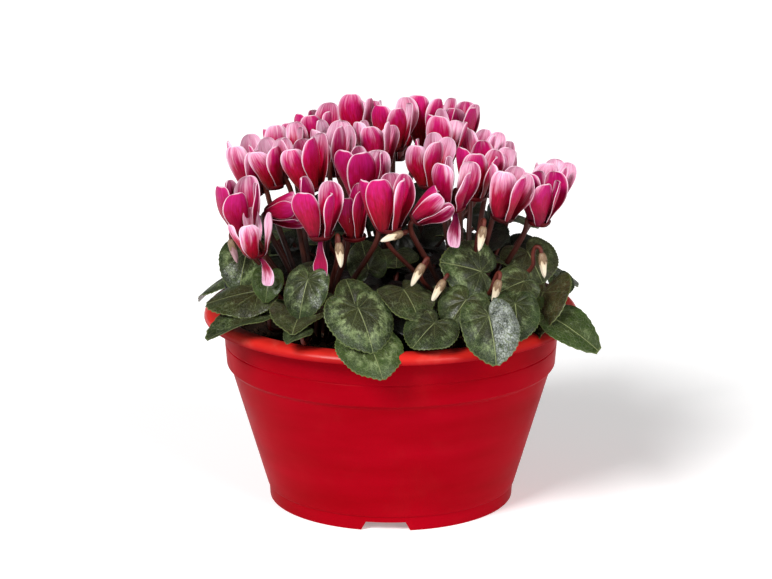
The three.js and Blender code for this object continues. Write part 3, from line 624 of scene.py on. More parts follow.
def leaf_finish():
    """Olive inside a broken silver band, green outside it, with a pale midrib, fine veins and a pale rim."""
    f = Finish("leaf_wax", Specular_IOR_Level=0.36, Coat_Weight=0.08, Coat_Roughness=0.25)
    x, y, reach = f.marks("leaf_place")
    silver, bronze, bright = f.marks("leaf_tone")
    number = f.mark("leaf_number")
    angle = f.math("ARCTAN2", y, x)
    distance = f.math("SQRT", f.plus(f.times(x, x), f.times(y, y)))
    flat = f.vector(x, y, number)
    blotch = f.noise(flat, 5.0, 4.0, 0.6)
    speck = f.noise(flat, 26.0, 3.0, 0.65)
    cloud = f.noise(flat, 1.8)
    feather = f.noise(f.stretched(angle, 3.2, distance, 3.4, number), 2.4, 4.0, 0.6)

    # veins
    half_way = f.times(f.math("ABSOLUTE", y), f.plus(1.0, reach))
    midrib = f.times(f.step(half_way, 0.005, 0.021, 1.0, 0.0), f.step(x, 0.0, 0.04))
    bent = f.plus(angle, f.scaled(blotch, 0.2, -0.1))
    spokes = f.math("ABSOLUTE", f.math("SINE", f.times(bent, VEINS / 2)))
    side_veins = f.step(f.times(spokes, distance), 0.005, 0.022, 1.0, 0.0)
    side_veins = f.times(side_veins, f.step(reach, 0.3, 0.95, 0.75, 0.15))
    net = f.step(f.cells(f.stretched(bent, 3.2, distance, 4.0, number), 2.6), 0.01, 0.09, 1.0, 0.0)
    fine_net = f.step(f.cells(flat, 16.0), 0.0, 0.08, 1.0, 0.0)

    # blade and silver band
    band_place = f.plus(reach, f.scaled(feather, 0.6, -0.3))
    band = f.times(f.step(band_place, 0.5, 0.66), f.step(band_place, 0.74, 0.9, 1.0, 0.0))
    band = f.times(band, f.step(f.scaled(silver, 0.25, blotch), 0.52, 0.82))
    tone = f.scaled(blotch, 0.5, f.scaled(cloud, 0.9, -0.2))
    inside = f.ramp(tone, (0.32, (9, 16, 8)), (0.7, (52, 58, 27)), (0.9, (96, 84, 34)))
    outside = f.ramp(tone, (0.32, (6, 17, 9)), (0.7, (44, 66, 28)), (0.9, (84, 102, 44)))
    ground = f.mix(f.step(band_place, 0.5, 0.7), inside, outside)
    ground = f.mix(f.step(speck, 0.5, 0.72, 0.0, 0.45), ground, (104, 112, 74))
    ground = f.mix(f.times(bright, 0.75), ground, (74, 100, 40))
    ground = f.mix(f.times(bronze, f.step(blotch, 0.3, 0.7, 0.3, 0.9)), ground, (62, 46, 24))
    shine = f.ramp(feather, (0.35, (72, 92, 46)), (0.62, (156, 172, 118)))
    colour = f.mix(f.times(band, f.scaled(silver, 0.75, 0.15)), ground, shine)

    # frost on one half, then the veins, the rim, the underside and painted shade on the leaves in the heart
    # of the bowl
    half = f.times(f.step(y, 0.0, 0.06), f.step(reach, 0.7, 1.0, 1.0, 0.5))
    frost = f.times(f.times(f.mark("leaf_frost"), half), f.step(net, 0.0, 1.0, 0.9, 0.2))
    frost_tone = f.scaled(blotch, 0.5, f.times(speck, 0.5))
    colour = f.mix(frost, colour, f.ramp(frost_tone, (0.38, (40, 50, 44)), (0.6, (186, 192, 186))))
    colour = f.mix(f.scaled(band, 0.3, 0.1), colour, f.mix(net, colour, (160, 174, 128)))
    colour = f.mix(f.times(side_veins, 0.8), colour, (146, 158, 104))
    colour = f.mix(f.times(midrib, 0.85), colour, (164, 174, 118))
    colour = f.mix(f.times(f.step(reach, 0.965, 0.99), 0.45), colour, (116, 130, 70))
    colour = f.mix(f.mark("leaf_under"), colour, f.ramp(cloud, (0.3, (70, 72, 40)), (0.7, (98, 64, 50))))
    # Painted shade: where the third tone number is below zero, the blade is darkened towards near black,
    # standing for the shade in the heart of the bowl
    shaded = f.ramp(cloud, (0.3, (6, 9, 5)), (0.7, (16, 21, 11)))
    colour = f.mix(f.step(bright, -1.0, 0.0), shaded, colour)
    relief = f.plus(f.times(net, -0.5), f.scaled(fine_net, -0.3, midrib))
    return f.done(colour, f.step(blotch, 0.2, 0.8, 0.3, 0.46), f.bump(relief, 0.8, 0.0011))


def stalk_finish():
    """Brown-red plant skin, darker and greener towards the foot, with fine lengthways fibres."""
    f = Finish("stalk_skin", Specular_IOR_Level=0.3)
    place = f.place()
    x, y, z = f.parts(place)
    fibre = f.noise(f.stretched(x, 900.0, y, 900.0, f.times(z, 40.0)), 1.0)
    patch = f.noise(place, 60.0)
    colour = f.ramp(
        f.mark("along"), (0.0, (20, 12, 8)), (0.45, (46, 23, 17)), (0.85, (86, 35, 27)), (1.0, (84, 36, 28)),
    )
    colour = f.mix(f.step(patch, 0.5, 0.8, 0.0, 0.4), colour, (122, 62, 48))
    colour = f.mix(f.step(fibre, 0.5, 0.8, 0.0, 0.3), colour, (54, 24, 20))
    return f.done(colour, f.step(patch, 0.3, 0.7, 0.42, 0.6), f.bump(fibre, 0.3, 0.0004))


def bud_finish():
    """Ivory furled petals under a grey-brown veined calyx."""
    f = Finish("bud_ivory", Coat_Weight=0.05)
    across, along, calyx = f.marks("bud_place")
    grain = f.noise(f.stretched(across, 14.0, along, 2.0, 0.0), 2.0)
    petals = f.ramp(along, (0.2, (188, 160, 122)), (0.45, (226, 208, 178)), (1.0, (240, 228, 206)))
    petals = f.mix(f.step(grain, 0.5, 0.75, 0.0, 0.35), petals, (196, 164, 130))
    petals = f.mix(f.mark("bud_purple"), petals, (150, 92, 116))
    cover = f.ramp(grain, (0.35, (92, 66, 50)), (0.65, (150, 124, 92)))
    return f.done(f.mix(calyx, petals, cover), 0.5, f.bump(grain, 0.4, 0.0004))


def corm_finish():
    """Cracked brown cork."""
    f = Finish("corm_cork")
    place = f.place()
    crack = f.step(f.cells(place, 260.0), 0.0, 0.12)
    cork = f.ramp(f.noise(place, 90.0, 4.0), (0.3, (78, 54, 36)), (0.7, (112, 84, 58)))
    return f.done(f.mix(crack, (34, 22, 15), cork), 0.85, f.bump(crack, 0.6, 0.001))


def plastic_finish():
    """Satin moulded red plastic, with a fine pebble, faint flow marks and faint dust, and a shinier lip that
    is painted paler, with pale painted highlights.
    """
    f = Finish("red_plastic", Specular_IOR_Level=0.01, Coat_Roughness=0.3)
    place = f.place()
    x, y, z = f.parts(place)
    flow = f.noise(f.vector(x, y, f.times(z, 6.0)), 9.0)
    pebble = f.noise(place, 1400.0, 2.0)
    smear = f.noise(place, 26.0, 5.0, 0.65)
    upper = f.step(z, 0.1345, 0.1405)
    colour = f.ramp(flow, (0.3, (136, 7, 20)), (0.7, (154, 9, 28)))
    # Painted light: the lip's top is painted a paler orange-red, as where light falls on it
    colour = f.mix(f.times(upper, 0.8), colour, (212, 46, 38))
    # Faint dust on the body; on the lip the pale blotches are painted highlights
    dust_and_painted_highlight = f.times(f.step(smear, 0.48, 0.74), f.scaled(upper, 0.4, 0.008))
    colour = f.mix(dust_and_painted_highlight, colour, (222, 128, 112))
    f.set(f.skin.inputs["Coat Weight"], f.scaled(upper, 0.5, 0.003))
    roughness = f.plus(f.step(smear, 0.3, 0.75, 0.3, 0.44), f.times(pebble, 0.04))
    return f.done(colour, roughness, f.bump(pebble, 0.06, 0.0003))


def peat_finish():
    """Moist dark peat with paler fibres and grains."""
    f = Finish("moist_peat", Specular_IOR_Level=0.2)
    place = f.place()
    clod = f.noise(place, 130.0, 6.0, 0.7)
    grain = f.cells(place, 900.0, "F1")
    colour = f.ramp(clod, (0.3, (20, 13, 9)), (0.52, (42, 28, 19)), (0.7, (66, 46, 31)))
    colour = f.mix(f.step(grain, 0.0, 0.16, 0.45, 0.0), colour, (112, 84, 56))
    return f.done(colour, 0.92, f.bump(clod, 0.8, 0.003))


def floor_finish():
    """White studio floor that glows a little."""
    f = Finish("studio_floor", Emission_Strength=0.28, Emission_Color=(1, 1, 1, 1))
    return f.done(f.ramp(f.noise(f.place(), 2.0), (0.3, (252, 252, 252)), (0.7, (255, 255, 255))), 0.8)


# Pot

def filleted(corners):
    """A profile of [radius, height, fillet] corners with each corner rounded off by its fillet."""
    path = np.array([corner[:2] for corner in corners], float)
    rounded = [path[0]]
    for before, corner, after, (_, _, fillet) in zip(path, path[1:], path[2:], corners[1:]):
        start, end = (
            corner + unit(other - corner) * min(fillet, np.linalg.norm(other - corner) * FILLET_SHARE)
            for other in (before, after)
        )
        for t in np.linspace(0, 1, FILLET_STEPS):
            rounded.append((1 - t) ** 2 * start + 2 * t * (1 - t) * corner + t * t * end)
    return np.array([*rounded, path[-1]])


def pot_profile():
    """The wall's section, from the floor's middle out under it, up the outside and back down the inside."""
    groove = COLLAR_BOTTOM[0] + 0.48 * (COLLAR_TOP[0] - COLLAR_BOTTOM[0])
    return filleted([
        (0, FOOT_HEIGHT, 0),
        (FOOT_RADIUS - FOOT_RING_WIDTH, FOOT_HEIGHT, 1),
        (FOOT_RADIUS - FOOT_RING_WIDTH, 0, 0.6),
        (FOOT_RADIUS, 0, 0.8),
        (FOOT_RADIUS + 0.6, FOOT_HEIGHT, 0.2),
        (WALL_BOTTOM_RADIUS, FOOT_HEIGHT + 1, 0.6),
        (*WALL_TOP, 1.2),
        (COLLAR_BOTTOM[0] - 0.8, COLLAR_BOTTOM[1] - 0.8, 0.5),
        (*COLLAR_BOTTOM, 0.6),
        (groove, GROOVE_HEIGHT - 0.8, 0.3),
        (groove - GROOVE_DEPTH, GROOVE_HEIGHT, 0.3),
        (groove + 0.1, GROOVE_HEIGHT + 0.8, 0.3),
        (*COLLAR_TOP, 1),
        (COLLAR_TOP[0] + 2, LIP_TOP_HEIGHT - 3.4, 1),
        (LIP_RADIUS - 4.4, LIP_TOP_HEIGHT - 3.6, 1.2),
        (LIP_RADIUS - WALL, LIP_SKIRT_HEIGHT, 0.5),
        (LIP_RADIUS, LIP_SKIRT_HEIGHT, 0.8),
        (LIP_RADIUS - 0.3, LIP_TOP_HEIGHT - 4, 1.8),
        (LIP_RADIUS - 3, LIP_TOP_HEIGHT - 1, 1.8),
        (LIP_RADIUS - 7.5, LIP_TOP_HEIGHT, 2.4),
        (LIP_RADIUS - 12.5, LIP_TOP_HEIGHT - 0.4, 2),
        (COLLAR_TOP[0] - 1.4, LIP_TOP_HEIGHT - 2.4, 1.5),
        (COLLAR_TOP[0] - WALL, COLLAR_TOP[1], 1.5),
        (COLLAR_BOTTOM[0] - WALL, COLLAR_BOTTOM[1] + 2, 1.5),
        (WALL_TOP[0] - WALL, WALL_TOP[1] + 0.6, 1.5),
        (WALL_BOTTOM_RADIUS - WALL, FOOT_HEIGHT + WALL, 2),
        (0, FOOT_HEIGHT + WALL, 0),
    ])


def about_axis(degrees):
    """A function that turns points about +Z."""
    cos, sin = math.cos(math.radians(degrees)), math.sin(math.radians(degrees))
    turn = np.array([[cos, sin, 0], [-sin, cos, 0], [0, 0, 1]])
    return lambda points: points @ turn


def foot_notch(i):
    """A wedge through the foot ring, which is wider at the bottom."""
    low, high, top = NOTCH["low"] / 2, NOTCH["high"] / 2, NOTCH["height"]
    outline = [(-low, -1), (low, -1), (high, top), (-high, top)]
    points = np.array([(x, y, z) for y in (NOTCH["inside"], NOTCH["outside"]) for x, z in outline], float)
    faces = [(0, 1, 2, 3), (7, 6, 5, 4)]
    faces += [(a, 4 + a, 4 + b, b) for a, b in ((0, 1), (1, 2), (2, 3), (3, 0))]
    turn = about_axis(NOTCH["turn"] + 360 / NOTCH["count"] * i - 90)
    return facing_out({"points": turn(points), "faces": faces, "marks": {}, "material": 0})


def drain_hole(i):
    """A round plug through the floor."""
    radius, bottom, top = (DRAIN_HOLE[key] for key in ("radius", "bottom", "top"))
    hole = turned([(0, bottom), (radius, bottom), (radius, top), (0, top)], DRAIN_HOLE["segments"])
    middle = about_axis(360 / DRAIN_HOLE["count"] * i)(np.array([DRAIN_HOLE["circle"], 0, 0]))
    return placed(hole, lambda points: points + middle)


def make_pot(plastic):
    blank = new_object("pot_blank", bare_mesh("pot_blank", [turned(pot_profile(), POT_SEGMENTS)]))
    notches = [foot_notch(i) for i in range(NOTCH["count"])]
    holes = [drain_hole(i) for i in range(DRAIN_HOLE["count"])]
    cutters = new_object("pot_cutters", bare_mesh("pot_cutters", notches + holes))
    cut = blank.modifiers.new("cut", "BOOLEAN")
    cut.operation = "DIFFERENCE"
    cut.solver = "EXACT"
    cut.object = cutters
    mesh = result_of(blank)
    bpy.data.objects.remove(cutters)
    mesh.name = "turned_pot"
    mesh.materials.clear()
    mesh.materials.append(plastic)
    finish_piece("turned_pot", mesh, "red_plastic", ["pot"])
    mesh.set_sharp_from_angle(angle=math.radians(SHARP_ANGLE))


# Soil

def soil_height(x, y):
    """The height of the mounded, lumpy soil over a place."""
    reach = np.hypot(x, y) / (COLLAR_TOP[0] - WALL)
    lumps = np.sin(x / 9 + 1.3) * np.cos(y / 11 - 0.4) + 0.6 * np.sin((x + y) / 6.5)
    return SOIL_EDGE_HEIGHT + SOIL_MOUND * (1 - reach ** 2) + SOIL_LUMP * lumps * (1 - reach ** 6)


def soil_rows():
    """Loops from the soil's underside, up its side and in over its lumpy top."""
    angle = np.arange(SOIL_SEGMENTS) * 2 * math.pi / SOIL_SEGMENTS
    inside = WALL + SOIL_CLEARANCE
    edge = COLLAR_TOP[0] - inside - 1
    floor = FOOT_HEIGHT + WALL + 0.6
    side = np.array([
        (0, floor),
        (WALL_BOTTOM_RADIUS - inside, floor),
        (WALL_TOP[0] - inside, WALL_TOP[1] + 0.9),
        (COLLAR_BOTTOM[0] - inside, COLLAR_BOTTOM[1] + 2.3),
        (edge, SOIL_EDGE_HEIGHT - 1),
    ])
    radius = np.linspace(edge - 0.4, 0, SOIL_RINGS)[:, None]
    x, y = radius * np.cos(angle), radius * np.sin(angle)
    fine = 0.5 * np.sin(x / 2.3 + 2 * np.sin(y / 3.1)) * np.cos(y / 2.7 + np.sin(x / 4))
    top = np.stack([x, y, soil_height(x, y) + fine], -1)
    return np.concatenate([round_rows(side[:, :1], side[:, 1:], angle), top])


def crumb_shaper(peat):
    """Scatters dented crumbs over the faces that look up."""
    g = Shaper(
        "scattered_crumbs",
        density=("Crumbs a square metre", "NodeSocketFloat"),
        small=("Smallest crumb", "NodeSocketFloat"),
        large=("Largest crumb", "NodeSocketFloat"),
        seed=("Seed", "NodeSocketInt"),
    )
    normal = g.node("GeometryNodeInputNormal", {})
    upward = g.node("ShaderNodeSeparateXYZ", {0: normal}, 2)
    looks_up = g.node("FunctionNodeCompare", {0: upward, 1: 0.5}, operation="GREATER_THAN")
    places = {
        "Mesh": g.given.outputs[0],
        "Selection": looks_up,
        "Density": g.size("density"),
        "Seed": g.size("seed"),
    }
    places = g.node("GeometryNodeDistributePointsOnFaces", places, "Points")
    crumb = g.node("GeometryNodeMeshIcoSphere", {"Radius": 1, "Subdivisions": 1}, "Mesh")
    sizes = g.node("FunctionNodeRandomValue", {2: g.size("small"), 3: g.size("large")}, 1, data_type="FLOAT")
    spins = g.node("FunctionNodeRandomValue", {1: (math.tau, math.tau, math.tau)}, data_type="FLOAT_VECTOR")
    crumbs = {"Points": places, "Instance": crumb, "Scale": sizes, "Rotation": spins}
    crumbs = g.node("GeometryNodeRealizeInstances", {0: g.node("GeometryNodeInstanceOnPoints", crumbs)})
    dent = g.node("ShaderNodeTexNoise", {"Scale": 420}, "Color")
    dent = g.node("ShaderNodeVectorMath", {0: dent, 1: (0.5, 0.5, 0.5)}, operation="SUBTRACT")
    dent = g.node("ShaderNodeVectorMath", {0: dent, "Scale": CRUMB_DENT}, operation="SCALE")
    return g.done(g.node("GeometryNodeSetPosition", {"Geometry": crumbs, "Offset": dent}), peat)


def make_soil(peat):
    bed = closed_skin(soil_rows(), {})
    make_piece("soil_bed", [bed], [peat], "potting_soil", ["soil"])
    source = new_object("crumb_source", bare_mesh("crumb_source", [bed]))
    crumbs = crumb_shaper(peat).shape(source, "soil_crumbs", **CRUMBS)
    finish_piece("soil_crumbs", crumbs, "potting_soil")


# Stalks

def corm_of(place):
    """The number of the nearest corm, which a stalk grows from."""
    return min(range(len(CORMS)), key=lambda i: math.hypot(place[0] - CORMS[i][0], place[1] - CORMS[i][1]))


def towards_corm(place, axis):
    """The direction across an axis that points from a place to the corm nearest to it."""
    corm = CORMS[corm_of(place)]
    gap = np.array([corm[0] - place[0], corm[1] - place[1], 0])
    return unit(gap - axis * np.dot(gap, axis))


def grown(place, target, foot, seed, points):
    """A stalk's path: out of the nearest corm, up towards a target, then on through points.

    It starts further from the middle of the corm the further it reaches.
    """
    corm = CORMS[corm_of(place)]
    away = np.array([target[0] - corm[0], target[1] - corm[1], 0])
    reach = np.linalg.norm(away)
    start = foot[0] + (foot[1] - foot[0]) * min(reach / LONG_REACH, 1) + draw(seed)
    height = CORM["height"] + CORM["flatness"] * math.sqrt(CORM["radius"] ** 2 - start ** 2) - ROOTED
    low = np.array([corm[0], corm[1], height]) + away / reach * start
    bend = low + 0.45 * (np.asarray(target) - low) + (0, 0, 0.06 * reach + 2)
    return smooth_path([low, bend, *points])


def between(p, q, low, high, t):
    """The place at t on the straight line that is at p when t is low and at q when it is high."""
    return ((high - t) * p + (t - low) * q) / (high - low)


def smooth_path(points):
    """A smooth path through points, of which a sharp crook gets as many steps as its points give it."""
    points = np.asarray(points, float)
    path = np.vstack([2 * points[0] - points[1], points, 2 * points[-1] - points[-2]])
    made = []
    for a, b, c, d in zip(path, path[1:], path[2:], path[3:]):
        gaps = [max(np.linalg.norm(q - p), 1e-6) ** 0.5 for p, q in ((a, b), (b, c), (c, d))]
        k0, k1, k2, k3 = np.cumsum([0] + gaps)
        for t in np.linspace(k1, k2, STALK_STEPS, endpoint=False):
            ab, bc, cd = between(a, b, k0, k1, t), between(b, c, k1, k2, t), between(c, d, k2, k3, t)
            made.append(between(between(ab, bc, k0, k2, t), between(bc, cd, k1, k3, t), k1, k2, t))
    return np.array([*made, points[-1]])


def stalk_shaper(skin):
    """Gives every path of a curve object a round section of the path's own radius."""
    g = Shaper("stalks_along_paths", sides=("Sides", "NodeSocketInt"))
    share = g.node("GeometryNodeSplineParameter", {}, "Factor")
    paths = {"Geometry": g.given.outputs[0], "Name": "along", "Value": share}
    paths = g.node("GeometryNodeStoreNamedAttribute", paths, data_type="FLOAT")
    section = g.node("GeometryNodeCurvePrimitiveCircle", {"Radius": 1, "Resolution": g.size("sides")})
    radius = g.node("GeometryNodeInputRadius", {})
    swept = {"Curve": paths, "Profile Curve": section, "Scale": radius, "Fill Caps": True}
    swept = g.node("GeometryNodeCurveToMesh", swept)
    return g.done(g.node("GeometryNodeRealizeInstances", {0: swept}), skin)


def stalks_mesh(name, stalks, shaper):
    """One mesh of many stalks, each a path and its radius."""
    curve = bpy.data.curves.new(name, "CURVE")
    curve.dimensions = "3D"
    for path, radius in stalks:
        spline = curve.splines.new("POLY")
        spline.points.add(len(path) - 1)
        places = np.hstack([path * METRES, np.ones((len(path), 1))])
        spline.points.foreach_set("co", places.ravel())
        taper = radius * METRES * np.linspace(*STALK_TAPER, len(path))
        spline.points.foreach_set("radius", taper)
    return shaper.shape(new_object(name + "_paths", curve), name, sides=STALK_SIDES)


# Leaves

def heart_radius(angle, broad, point):
    """Distance from joint to rim, for a blade whose tip is at 1."""
    ahead = (1 + np.cos(angle)) / 2
    tip = point * np.exp(-((angle / 0.25) ** 2))
    lobes = 1 - 0.5 * (1 - ahead) ** 4
    notch = 0.86 * np.exp(-(((math.pi - np.abs(angle)) / 0.38) ** 2))
    side = broad + (1 - broad) * np.cos(angle) ** 2
    return (0.86 + 0.14 * ahead ** 3 + tip) * lobes * (1 - notch) * side


def leaf_axes(leaf):
    """The ways to the tip, up out of the blade, and across it."""
    turn, drop = math.radians(leaf["heading"]), math.radians(leaf["droop"])
    tip, up = leaning(turn, drop + math.pi / 2), leaning(turn, drop)
    up = rotated(up, tip, math.radians(-leaf.get("roll", 0)))
    return tip, up, np.cross(up, tip)


def leaf_surface(leaf, angle, reach, tooth=0.0):
    """Points of the blade's middle surface, and their x and y in the blade's own plane."""
    tip, up, side = leaf_axes(leaf)
    length = leaf["length"]
    rim = length * heart_radius(angle, leaf.get("broad", 1), leaf.get("point", 0.06)) * (1 + tooth)
    x, y = reach * rim * np.cos(angle), reach * rim * np.sin(angle)
    phase = draw(leaf["heading"])
    fold = leaf.get("fold", 0.06) * (np.sqrt(y * y + 2.25) - 1.5)
    dome = 0.2 * (x * x + y * y) / length
    wave = leaf.get("wave", 1) * reach ** 2 * np.sin(3 * angle + phase)
    ripple = 0.016 * length * reach ** 5 * np.sin(8 * angle + 4 * phase)
    quilt = 0.03 * length * np.abs(np.sin(angle * VEINS / 2)) * 4 * reach * (1 - reach)
    height = fold - dome + wave + ripple + quilt
    points = leaf["at"] + x[..., None] * tip + y[..., None] * side + height[..., None] * up
    return points, x, y


def leaf_patch(leaf, number, grid):
    """The closed blade: loops from the joint out over the upper face, round the rim and back under it."""
    columns, rings = grid
    share = 2 * np.arange(columns) / columns - 1
    angle = math.pi * share * (1 + NOTCH_CROWDING * (1 - np.abs(share)))
    outward = np.sin(np.linspace(0, math.pi / 2, rings + 1)) ** 0.8
    reach = np.concatenate([outward, outward[-2::-1]])[:, None]
    upper = np.concatenate([np.ones(rings), [0], -np.ones(rings)])[:, None]
    tooth = LEAF_TOOTH * np.where(np.arange(columns) % 2, 1, -1) * (np.abs(share) < TOOTHED_SHARE)
    middle, x, y = leaf_surface(leaf, angle + 0 * reach, reach, tooth * reach ** 12)
    _, up, _ = leaf_axes(leaf)
    half = LEAF_HALF_THICKNESS * np.sqrt(1 - np.where(upper == 0, reach, reach * 0.94) ** 6)
    rows = middle + (half * upper)[..., None] * up
    length = leaf["length"]
    whole = np.ones_like(x)
    # The third tone number brightens the green; below zero it paints shade into the blade instead
    tone = [leaf.get("silver", 0.35), leaf.get("bronze", 0.2), leaf.get("bright", 0.1)]
    return closed_skin(rows, {
        "leaf_place": np.stack([x / length, y / length, reach * whole], -1),
        "leaf_tone": whole[..., None] * np.array(tone),
        "leaf_under": whole * (upper < 0),
        "leaf_frost": whole * leaf.get("frost", 0),
        "leaf_number": whole * number * LEAF_NUMBER_STEP,
    })


def leaf_stalk(leaf, seed):
    _, up, _ = leaf_axes(leaf)
    joint = np.array(leaf["at"], float)
    low_bend, high_bend = (joint - up * depth for depth in STALK_BENDS)
    return grown(leaf["at"], low_bend, LEAF_STALK_FOOT, seed, [high_bend, joint - up * 0.2])


# Blooms

def bloom_axes(bloom):
    """The ways up the bloom's axis, across it to the gap for the stalk, and across both."""
    x, y, _ = bloom["at"]
    heading = math.radians(bloom["lean_heading"]) if "lean_heading" in bloom else math.atan2(y, x)
    lean = bloom.get("lean", 1 + 0.09 * math.hypot(x, y) + 4 * draw(x + y))
    up = leaning(heading, math.radians(lean))
    gap = towards_corm(bloom["at"], up)
    return up, gap, np.cross(up, gap)


def petal_half_width(s):
    """Half the width along a petal: a narrow claw, a full blade and a round tip."""
    swell = 2.2 + 6.8 * np.sin(math.pi / 2 * np.minimum(s / PETAL_WIDEST, 1)) ** 2.5
    past = np.clip((s - PETAL_WIDEST) / (1 - PETAL_WIDEST), 0, 1)
    return swell * (1 - past ** 2.6) ** (1 / 2.2)


def petal_angle(bloom, number, hangs):
    """How far round from the gap for the stalk a petal stands, in degrees."""
    if hangs:
        return bloom["hanging"]
    upright = PETALS - 1 if "hanging" in bloom else PETALS
    return STALK_OPENING / 2 + (360 - STALK_OPENING) / (upright - 1) * number


def petal_line(bloom, seed, hangs, outward, up):
    """A petal's middle line, as a function of the share of its length."""
    reach, rise = (HANGING_REACH, HANGING_RISE) if hangs else (PETAL_REACH, PETAL_RISE)
    stretch = 0.92 if hangs else 1 + 0.1 * draw(seed + 20)
    spread = bloom.get("slim", 1) * (1 + 0.14 * draw(seed + 40))

    def line(s):
        s = np.clip(s, 0, 1)
        out = bloom["size"] * smooth_through(reach, s) * (1 + (spread - 1) * eased(s, 0.05, 0.3))
        high = bloom["size"] * stretch * smooth_through(rise, s)
        return bloom["at"] + out[..., None] * outward + high[..., None] * up

    return line


def petal_surface(bloom, number, hangs, s, u):
    """Points of a petal's middle surface, the ways its inner face looks, and half its widths."""
    up, gap, across = bloom_axes(bloom)
    size = bloom["size"]
    seed = bloom["at"][0] * 3.7 + number
    angle = math.radians(petal_angle(bloom, number, hangs) + 3 * draw(seed))
    outward, around = rotated(gap, up, angle), rotated(across, up, angle)
    line = petal_line(bloom, seed, hangs, outward, up)
    run = line(s + 0.02) - line(s - 0.02)
    run /= np.linalg.norm(run, axis=1, keepdims=True)
    twist = math.radians(PETAL_TWIST + 7 * draw(seed + 60)) * np.sin(math.pi / 2 * np.minimum(2 * s, 1))
    sideways = np.array([rotated(around, along, turn) for along, turn in zip(run, twist)])
    normal = np.cross(run, sideways)
    narrow = (0.75 if bloom.get("slim", 1) < 1 else 1) * (0.6 if hangs else 1) * (1 + 0.05 * draw(seed + 80))
    half = (size * petal_half_width(s) * narrow)[:, None]
    blade = eased(s, 0.25, 0.55)[:, None]
    frill = 0.8 * size * np.abs(u) ** 3 * np.sin(10 * s[:, None] + 5 * draw(seed + 7) + 2 * u)
    cupped = PETAL_CUP * half * (u * u) - 0.1 * half + frill * blade
    sway = 1.5 * size * draw(seed + 90) * np.sin(2.2 * math.pi * s[:, None] + draw(seed + 91)) * blade
    beside = half * u * (1 + 0.12 * draw(seed + 95) * u * blade) + sway
    middle = line(s)[:, None] + beside[..., None] * sideways[:, None] + cupped[..., None] * normal[:, None]
    return middle, normal[:, None], half


def petal_patch(bloom, number):
    """One closed petal: loops round its section from the claw to the tip."""
    hangs = "hanging" in bloom and number == PETALS - 1
    low, high, across = PETAL_POINTS
    tip_steps = np.sin(np.linspace(0, math.pi / 2, high + 1)[1:])
    s = np.concatenate([np.linspace(0, PETAL_WIDEST, low), PETAL_WIDEST + (1 - PETAL_WIDEST) * tip_steps])
    u = np.sin(np.linspace(-math.pi / 2, math.pi / 2, across))
    middle, normal, half = petal_surface(bloom, number, hangs, s, u)
    thick = PETAL_HALF_THICKNESS * bloom["size"] * np.sqrt(np.maximum(1 - u ** 6, 0))
    step = (thick * np.minimum(half / 3, 1))[..., None] * normal
    rows = np.concatenate([middle - step, (middle + step)[:, -2:0:-1]], 1)
    inner = np.concatenate([np.zeros(len(u)), np.ones(len(u) - 2)])
    inner[[0, len(u) - 1]] = 0.5
    whole = np.ones(rows.shape[:2])
    seed = bloom["at"][0] * 3.7 + number
    pale = np.clip(bloom["pale"] + 0.25 * draw(seed + 11), 0, 1)
    purple = np.clip(0.2 + 0.4 * draw(bloom["at"][1] + 3) + (0.5 if hangs else 0), 0, 1)
    return closed_skin(pointed(rows), {
        "petal_place": np.stack([whole * [*u, *u[-2:0:-1]], whole * s[:, None], whole * inner], -1),
        "petal_tone": whole[..., None] * np.array([pale, purple, number + bloom["at"][0]]),
    })


def throat_patches(bloom):
    """The corolla's short tube, its rolled mouth, which is left open for the stalk, and the calyx."""
    up, gap, across = bloom_axes(bloom)
    profile = np.array(THROAT)
    angle = np.arange(THROAT_SEGMENTS) * 2 * math.pi / THROAT_SEGMENTS
    from_stalk = np.degrees(np.abs((angle + math.pi) % (2 * math.pi) - math.pi))
    opening = eased(from_stalk, *THROAT_DRAWN_IN)
    limit = THROAT_GAP_RADIUS + (THROAT_FREE_RADIUS - THROAT_GAP_RADIUS) * opening
    radius = np.minimum(profile[:, :1], limit) * (1 + 0.03 * np.cos(5 * angle))
    rows = round_rows(radius, profile[:, 1:], angle)
    whole = np.ones(rows.shape[:2])
    tube = closed_skin(rows, {
        "petal_place": np.stack([0 * whole, whole * 0.1, 0 * whole], -1),
        "petal_tone": whole[..., None] * np.array([0, 0, bloom["at"][0]]),
    })

    def stand(points):
        along_axes = points[:, :1] * gap + points[:, 1:2] * across + points[:, 2:] * up
        return bloom["at"] + bloom["size"] * along_axes

    return [placed(patch, stand) for patch in (tube, *(sepal(i) for i in range(SEPALS)))]


def sepal(i):
    """One pointed lobe of the calyx, lying on the tube."""
    s = np.linspace(0, 1, 7)[:, None]
    angle = math.tau * (i + 0.5) / SEPALS
    out, beside = leaning(angle, math.pi / 2), leaning(angle + math.pi / 2, math.pi / 2)
    width = 1.5 * np.sqrt(1 - s ** 2) * np.minimum(1, 0.6 + s)
    middle = (2.7 + 1.2 * s) * out + (THROAT_HEIGHT - SEPAL_LENGTH * s) * np.array([0, 0, 1])
    section = ((-1, 0), (0, 0.35), (1, 0), (0, -0.35))
    rows = np.stack([middle + x * width * beside + y * (s < 1) * out for x, y in section], 1)
    return closed_skin(pointed(rows), {"along": np.full(rows.shape[:2], 0.6)}, material=1)


def bloom_stalk(bloom, seed):
    up, gap, _ = bloom_axes(bloom)
    crook = [bloom["at"] + bloom["size"] * (out * gap + rise * up) for out, rise in BLOOM_CROOK]
    return grown(bloom["at"], crook[0], FLOWER_STALK_FOOT, seed, crook)


# Buds

def bud_frame(bud):
    """The top, the way the bud hangs, and the way across it to its corm."""
    top, tip = (np.array(bud[key], float) for key in ("at", "tip"))
    hang = unit(tip - top)
    return top, hang, towards_corm(top, hang)


